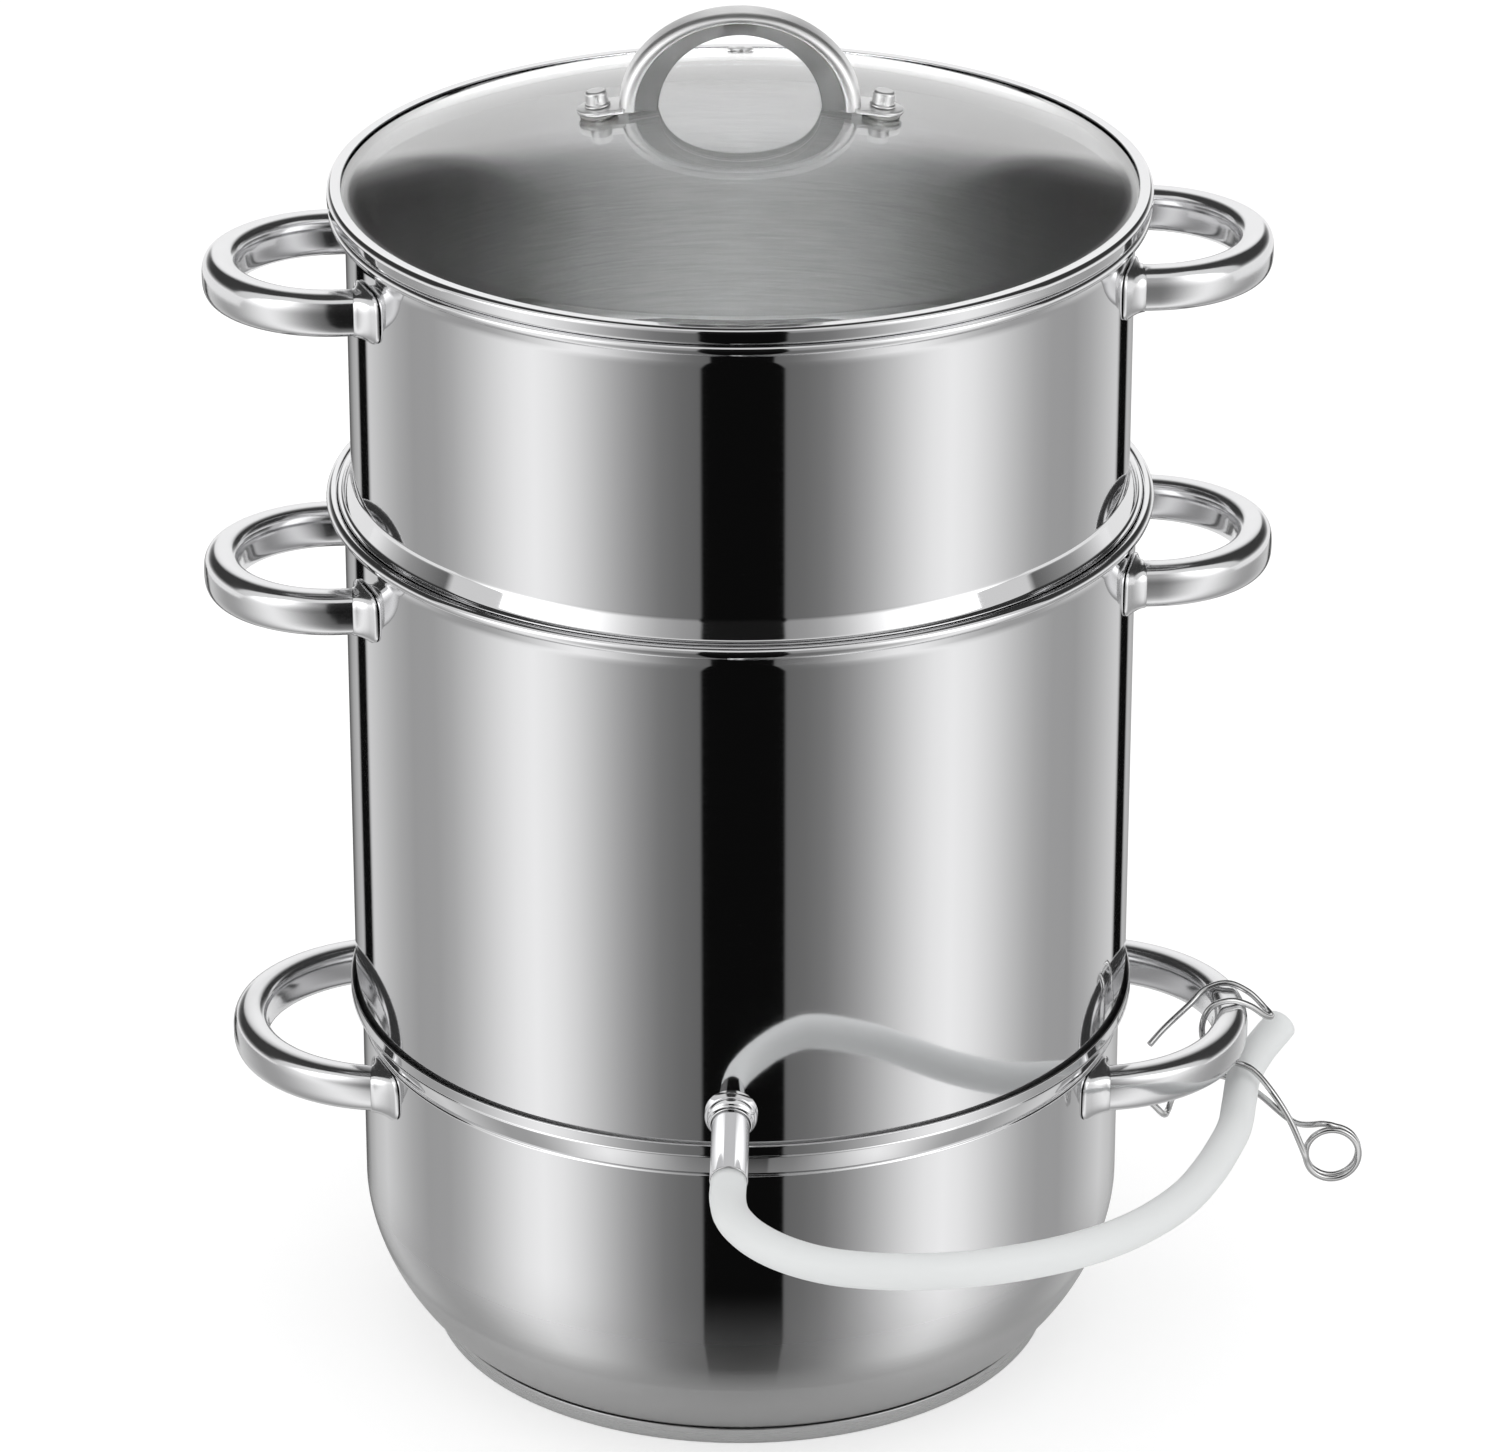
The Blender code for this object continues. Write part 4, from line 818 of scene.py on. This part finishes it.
spout = {
    "wall": kettleRadius, "skin": 0.05, "level": 137.0, "turn": -1.3, "tilt": 14.0,
    "tube": ((4.8, -3.0, 0.2, 2), (6.2, -3.0, 0.2, 2), (6.2, 31.0, 0.35, 4),
             (4.8, 31.0, 0.35, 4)),
    "collar": ((6.25, -6.0), (8.6, -6.0), (8.6, 1.6, 1.5, 8), (7.2, 2.9, 0.4, 4),
               (6.9, 4.2, 0.4, 4), (6.25, 4.2)),
}


def spoutFrame():
    turn, tilt = math.radians(spout["turn"]), math.radians(spout["tilt"])
    out = Vector((math.sin(turn), -math.cos(turn), 0.0))
    root = out * spout["wall"] * mm + Vector((0.0, 0.0, spout["level"] * mm))
    run = out * math.cos(tilt) - Vector((0.0, 0.0, math.sin(tilt)))
    return Matrix.Translation(root) @ run.to_track_quat("Z", "Y").to_matrix().to_4x4()


def addSpout(steel):
    for name, part, node in (("spoutPipe", "tube", "spout_tube"),
                             ("spoutFerrule", "collar", "spout_collar")):
        bm = spinOutline(spout[part], steps=64, hold=0.15)
        bmesh.ops.transform(bm, matrix=spoutFrame(), verts=bm.verts)
        if part == "collar":
            # What would stand inside the kettle is drawn out onto its curved wall.
            skin = (spout["wall"] + spout["skin"]) * mm
            for vert in bm.verts:
                if vert.co.to_2d().length < skin:
                    vert.co.y *= math.sqrt(skin ** 2 - vert.co.x ** 2) / abs(vert.co.y)
            bmesh.ops.remove_doubles(bm, verts=bm.verts, dist=merge)
        finishPiece(name, bm, [steel], "kettle", [node])


clamp = {
    "wire": 1.1, "legPoints": {"hook": 200, "jaw": 120},
    "bar": (167.5, 0.0, 104.8), "unit": (7.5, 10.0, 8.75),
    "coil": {"place": (202.5, -19.0, 64.3), "radius": 9.0, "pitch": 2.7, "start": 195.0,
             "turns": 1.68, "points": 60},
    "hook": (
        (2.67, -1.95, -3.14), (1.80, -1.70, -2.00), (0.93, -1.30, -1.30), (0.00, -1.00, -1.11),
        (-0.96, -0.70, -0.95), (-1.31, -0.50, 0.00), (-0.93, -0.30, 0.80), (0.00, -0.10, 1.00),
        (0.93, 0.08, 0.66), (1.67, 0.30, 0.09), (1.96, 0.62, -0.09), (1.67, 0.95, 0.09),
        (0.93, 1.15, 0.66), (-0.07, 1.25, 1.00), (-1.07, 1.20, 0.74), (-1.80, 0.80, 0.29),
        (-3.00, 0.00, -0.29), (-3.67, -0.50, -0.69),
    ),
    "jaw": (
        (3.00, -1.05, -3.79), (1.43, 0.50, -3.43), (0.07, 1.10, -3.09), (-1.40, 1.00, -2.86),
        (-2.33, 0.60, -3.43), (-2.71, 0.10, -3.94), (-2.93, -0.40, -3.83), (-3.40, -0.50, -3.37),
        (-3.93, -0.50, -2.91),
    ),
}


def coilPoints(start, end):
    coil = clamp["coil"]
    points = []
    for step in range(coil["points"]):
        angle = start + (end - start) * step / (coil["points"] - 1)
        turn = math.radians(coil["start"] + angle)
        along = coil["pitch"] * (angle / 360.0 - coil["turns"] / 2)
        points.append((Vector(coil["place"]) + Vector((coil["radius"] * math.cos(turn), along,
                                                       coil["radius"] * math.sin(turn)))) * mm)
    return points


def clampLeg(coilPath, shares, count):
    # Runs on from the coil's last point, through places given as shares of the unit.
    end, before = coilPath[-1], coilPath[-2]
    lead = end + (end - before).normalized() * clamp["coil"]["radius"] / 2 * mm
    places = [(Vector(clamp["bar"]) + Vector(clamp["unit"]) * Vector(share)) * mm
              for share in shares]
    return smoothPath([end, lead] + places, count)


def addClamp(wire):
    # One wire, parted halfway round its coil into a hook and a jaw.
    whole = 360.0 * clamp["coil"]["turns"]
    halves = (("clampHook", "pan", "hook", coilPoints(0.0, whole / 2)[::-1]),
              ("clampJaw", "clamp_jaw", "jaw", coilPoints(whole / 2, whole)))
    for name, body, leg, coilPath in halves:
        path = coilPath + clampLeg(coilPath, clamp[leg], clamp["legPoints"][leg])[1:]
        bm = tubeMesh(name, path, clamp["wire"] * mm, 4)
        finishPiece(name, bm, [wire], body, [f"clamp_{leg}_wire"], sharp=60.0)


lid = {
    "band": (
        (126.0, 401.5, 0.25, 3), (126.6, 401.5, 0.25, 3), (126.6, 406.3, 0.5, 3),
        (134.2, 406.3, 1.3, 6), (134.2, 411.7, 1.6, 8), (129.7, 411.7, 0.28, 3),
        (129.7, 411.1, 0.28, 3), (133.6, 411.1, 1.0, 4), (133.6, 406.9, 0.9, 4), (126.0, 406.9),
    ),
    "foot": 129.4, "edge": 133.3, "edgeFoot": 407.2, "edgeRound": (1.2, 5), "thickness": 3.6,
    "rise": 26.0, "rings": 24, "fixing": 45.6, "fixingHole": 2.5, "vent": 88.0, "ventHole": 3.3,
    "holeSides": 32, "drillDepth": 14.0,
    "arch": {"radius": 39.0, "depth": 12.6, "topDepth": 7.3, "sheet": 1.5, "lift": 32.8,
             "steps": 64, "half": 6.75, "lip": 5.0, "lipIn": 0.1, "flangeIn": 2.0,
             # Rounding and its segments, from the crown's edge to the inside of the bend.
             "rounds": ((3.8, 12), (0.6, 4), (0.3, 2), (0.5, 3), (0.5, 3), (1.4, 4))},
    "tab": {"length": 8.1, "width": 14.0, "sheet": 1.5, "lift": 1.6, "squeeze": 0.2,
            "round": 0.4, "rimFrom": 70.0},
}


def sphereRadius():
    return (lid["foot"] ** 2 + lid["rise"] ** 2) / (2 * lid["rise"])


def domeHeight(radius):
    sphere = sphereRadius()
    return lid["edgeFoot"] + lid["thickness"] + lid["rise"] - sphere + math.sqrt(
        sphere ** 2 - radius ** 2)


def glassFrame(x, y):
    reach = math.hypot(x, y)
    lean = math.asin(reach / sphereRadius())
    normal = Vector((x / reach * math.sin(lean), y / reach * math.sin(lean), math.cos(lean)))
    turn = normal.to_track_quat("Z", "Y").to_matrix().to_4x4()
    return Matrix.Translation((x * mm, y * mm, domeHeight(reach) * mm)) @ turn


def addGlass(glass):
    radii = [lid["foot"] * ring / lid["rings"] for ring in range(lid["rings"] + 1)]
    upper = [(radius, domeHeight(radius)) for radius in radii]
    lower = [(radius, height - lid["thickness"]) for radius, height in upper[::-1]]
    rim = [(lid["edge"], lid["edgeFoot"] + lid["thickness"], *lid["edgeRound"]),
           (lid["edge"], lid["edgeFoot"], *lid["edgeRound"])]
    # The dome's even rings need no held loops, so the hold is longer than any edge.
    bm = spinOutline(upper + rim + lower, steps=160, closed=False, hold=50.0)
    piece = finishPiece("lidDome", bm, [glass], "lid", ["lid_glass"])
    spots = ((lid["fixingHole"], -lid["fixing"], 0.0), (lid["fixingHole"], lid["fixing"], 0.0),
             (lid["ventHole"], 0.0, lid["vent"]))
    drillHoles(piece, [(radius, lid["holeSides"], lid["drillDepth"], glassFrame(x, y))
                       for radius, x, y in spots])


def addLidArch(satin, shadedFlange):
    # A channel section spun half round, deeper at its feet than at its crown, with two tabs.
    arch, tab = lid["arch"], lid["tab"]
    half, wall, deep, outer = arch["half"], arch["sheet"], arch["depth"], arch["radius"]
    lip, inside = arch["lip"], half - arch["flangeIn"]
    foot = domeHeight(lid["fixing"]) + tab["lift"] + tab["sheet"]
    bm = bmesh.new()
    # One side of the section: depth from the crown, and place across.
    edge = [(0.0, half), (lip, half - arch["lipIn"]), (lip, inside), (deep, inside),
            (deep, inside - wall), (wall, inside - wall)]
    corners = edge + [(depth, -y) for depth, y in edge[::-1]]
    verts = [bm.verts.new(((outer - depth) * mm, y * mm, 0.0)) for depth, y in corners]
    bm.faces.new(verts)
    for vert, rounding in zip(verts, arch["rounds"] + arch["rounds"][::-1]):
        roundCorner(bm, vert, *rounding)
    bmesh.ops.spin(bm, geom=bm.faces[:], axis=(0, 1, 0), cent=(0, 0, 0), angle=-math.pi,
                   steps=arch["steps"])
    bmesh.ops.remove_doubles(bm, verts=bm.verts, dist=merge)
    for vert in bm.verts:
        reach = math.hypot(vert.co.x, vert.co.z) / mm
        share = (reach - outer + deep) / deep
        vert.co.z *= (arch["lift"] - arch["topDepth"] * (1 - share)) / reach
    bmesh.ops.translate(bm, vec=(0.0, 0.0, foot * mm), verts=bm.verts)
    for side in (-1, 1):
        disc = bmesh.ops.create_cone(bm, cap_ends=True, segments=48, radius1=tab["width"] / 2 * mm,
                                     radius2=tab["width"] / 2 * mm,
                                     depth=tab["sheet"] * mm)["verts"]
        for vert in disc:
            if vert.co.x * side < 0:
                vert.co.x = vert.co.x * tab["squeeze"] - side * tab["length"] * mm
        bmesh.ops.translate(bm, vec=(0.0, 0.0, (tab["lift"] + tab["sheet"] / 2) * mm), verts=disc)
        turn = Matrix.Rotation(side * math.asin(lid["fixing"] / sphereRadius()), 4, "Y")
        place = Matrix.Translation(glassFrame(side * lid["fixing"], 0.0).to_translation())
        bmesh.ops.transform(bm, matrix=place @ turn, verts=disc)
        rim = {edge for vert in disc for edge in vert.link_edges if len(edge.link_faces) == 2
               and edge.calc_face_angle() > math.radians(tab["rimFrom"])}
        bmesh.ops.bevel(bm, geom=list(rim), offset=tab["round"] * mm, offset_type="OFFSET",
                        affect="EDGES", segments=3, profile=0.5, material=-1)
    bmesh.ops.recalc_face_normals(bm, faces=bm.faces)
    # The flanges stand back under the rolled edge and are painted darker than it, as shade under
    # the edge.
    setBack = (inside + arch["lipIn"]) * mm
    for face in bm.faces:
        if (all(abs(vert.co.y) < setBack for vert in face.verts) and abs(face.normal.y) > 0.5
                and face.calc_center_median().z > foot * mm):
            face.material_index = 1
    finishPiece("lidArch", bm, [satin, shadedFlange], "lid", ["lid_handle"])


fixings = {
    # Outlines round each fixing's own axis. Heights are above the glass's upper face.
    "ventEyelet": ((1.5, -4.6, 0.2, 2), (4.4, -4.6, 0.2, 2), (4.4, -3.9, 0.2, 2), (3.0, -3.9),
                   (3.0, 0.3), (4.4, 0.3, 0.15, 2), (4.4, 1.0, 0.35, 3), (1.5, 1.0, 0.35, 3)),
    "capNut": ((0.0, 6.8), (2.5, 6.8), (2.5, 3.4), (4.3, 3.4, 0.2, 2), (4.3, 4.0, 0.25, 3),
               (3.6, 4.3, 0.2, 3), (3.6, 8.4, 1.0, 6), (0.0, 8.4)),
    "topWasher": ((2.5, 0.3), (6.2, 0.3, 0.3, 3), (6.2, 1.3, 0.3, 3), (2.5, 1.3)),
    "underWasher": ((2.5, -4.9), (6.2, -4.9, 0.3, 3), (6.2, -3.9, 0.3, 3), (2.5, -3.9)),
    "lidScrew": ((0.0, -7.2), (4.0, -7.2, 1.2, 6), (4.0, -5.2, 0.2, 2), (2.0, -5.2),
                 (2.0, 6.0, 0.3, 2), (0.0, 6.0)),
}


def addLidFixings(steel, rubber):
    bm = spinOutline(fixings["ventEyelet"], steps=48, hold=0.1)
    bmesh.ops.transform(bm, matrix=glassFrame(0.0, lid["vent"]), verts=bm.verts)
    finishPiece("ventEyelet", bm, [steel], "lid", ["lid_vent_eyelet"])
    for side, sign in (("left", -1), ("right", 1)):
        place = glassFrame(sign * lid["fixing"], 0.0)
        for name, node, material, slotName in (
                ("capNut", "lid_cap_nut_", steel, "polished_steel"),
                ("topWasher", "lid_upper_washer_", rubber, "washer_silicone"),
                ("underWasher", "lid_lower_washer_", rubber, "washer_silicone"),
                ("lidScrew", "lid_screw_", steel, "polished_steel")):
            outline = fixings[name]
            bm = spinOutline(outline, steps=40, closed=outline[0][0] > 0, hold=0.1)
            bmesh.ops.transform(bm, matrix=place, verts=bm.verts)
            finishPiece(f"{name}_{side}", bm, [material], "lid", [node + side])


def addLidBand(steel):
    bm = spinOutline(lid["band"])
    finishPiece("lidBand", bm, [steel], "lid", ["lid_rim_band"])


addCamera()
silicone = milkySilicone()
addHose(silicone)
print("camera and hose")
addWorld()
addFloor()
addLightTent()
print("studio")
steel = polishedSteel("mirrorBuffedStainless", 0.025, 0.075)
buffed = polishedSteel("softBuffedStainless", 0.11, 0.19)
brushed = brushedInsideWithPaintedFan("latheBrushedStainlessPaintedFan", ((0.30, 0.72), (0.50, 0.83), (0.70, 0.94)))
# The basket's drilled floor takes a darker copy of the brushed inside: painted shade at the bottom
# of the basket, with the painted fan as well.
shadedFloor = brushedInsideWithPaintedFan("shadedDrilledFloor", ((0.30, 0.16), (0.50, 0.20), (0.70, 0.24)))
satin = satinSteel("satinBeltedStainless", "F0F0F0", 0.34, 0.44)
# The flanges take a darker copy of the satin: painted shade under the arch's rolled edge.
shadedFlange = satinSteel("pressedFlangePaintedShade", "8C8C8C", 0.40, 0.52)
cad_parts["pan_base_core"].data.materials.clear()
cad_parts["pan_base_core"].data.materials.append(castAluminium())
addPan(polishedSteel("mirrorToShadedSatinStainless", 0.025, 0.075, hazeAndShade=(18.0, 72.0)), brushed,
       turnedSteel())
addKettle(steel, brushed)
addBasket(steel, brushed, shadedFloor)
print("vessels")
addHandles(buffed)
addSpout(steel)
addClamp(springWire())
print("handles, spout and clamp")
addLidBand(steel)
addGlass(temperedGlass())
addLidArch(satin, shadedFlange)
addLidFixings(satin, washerSilicone())
print("lid")
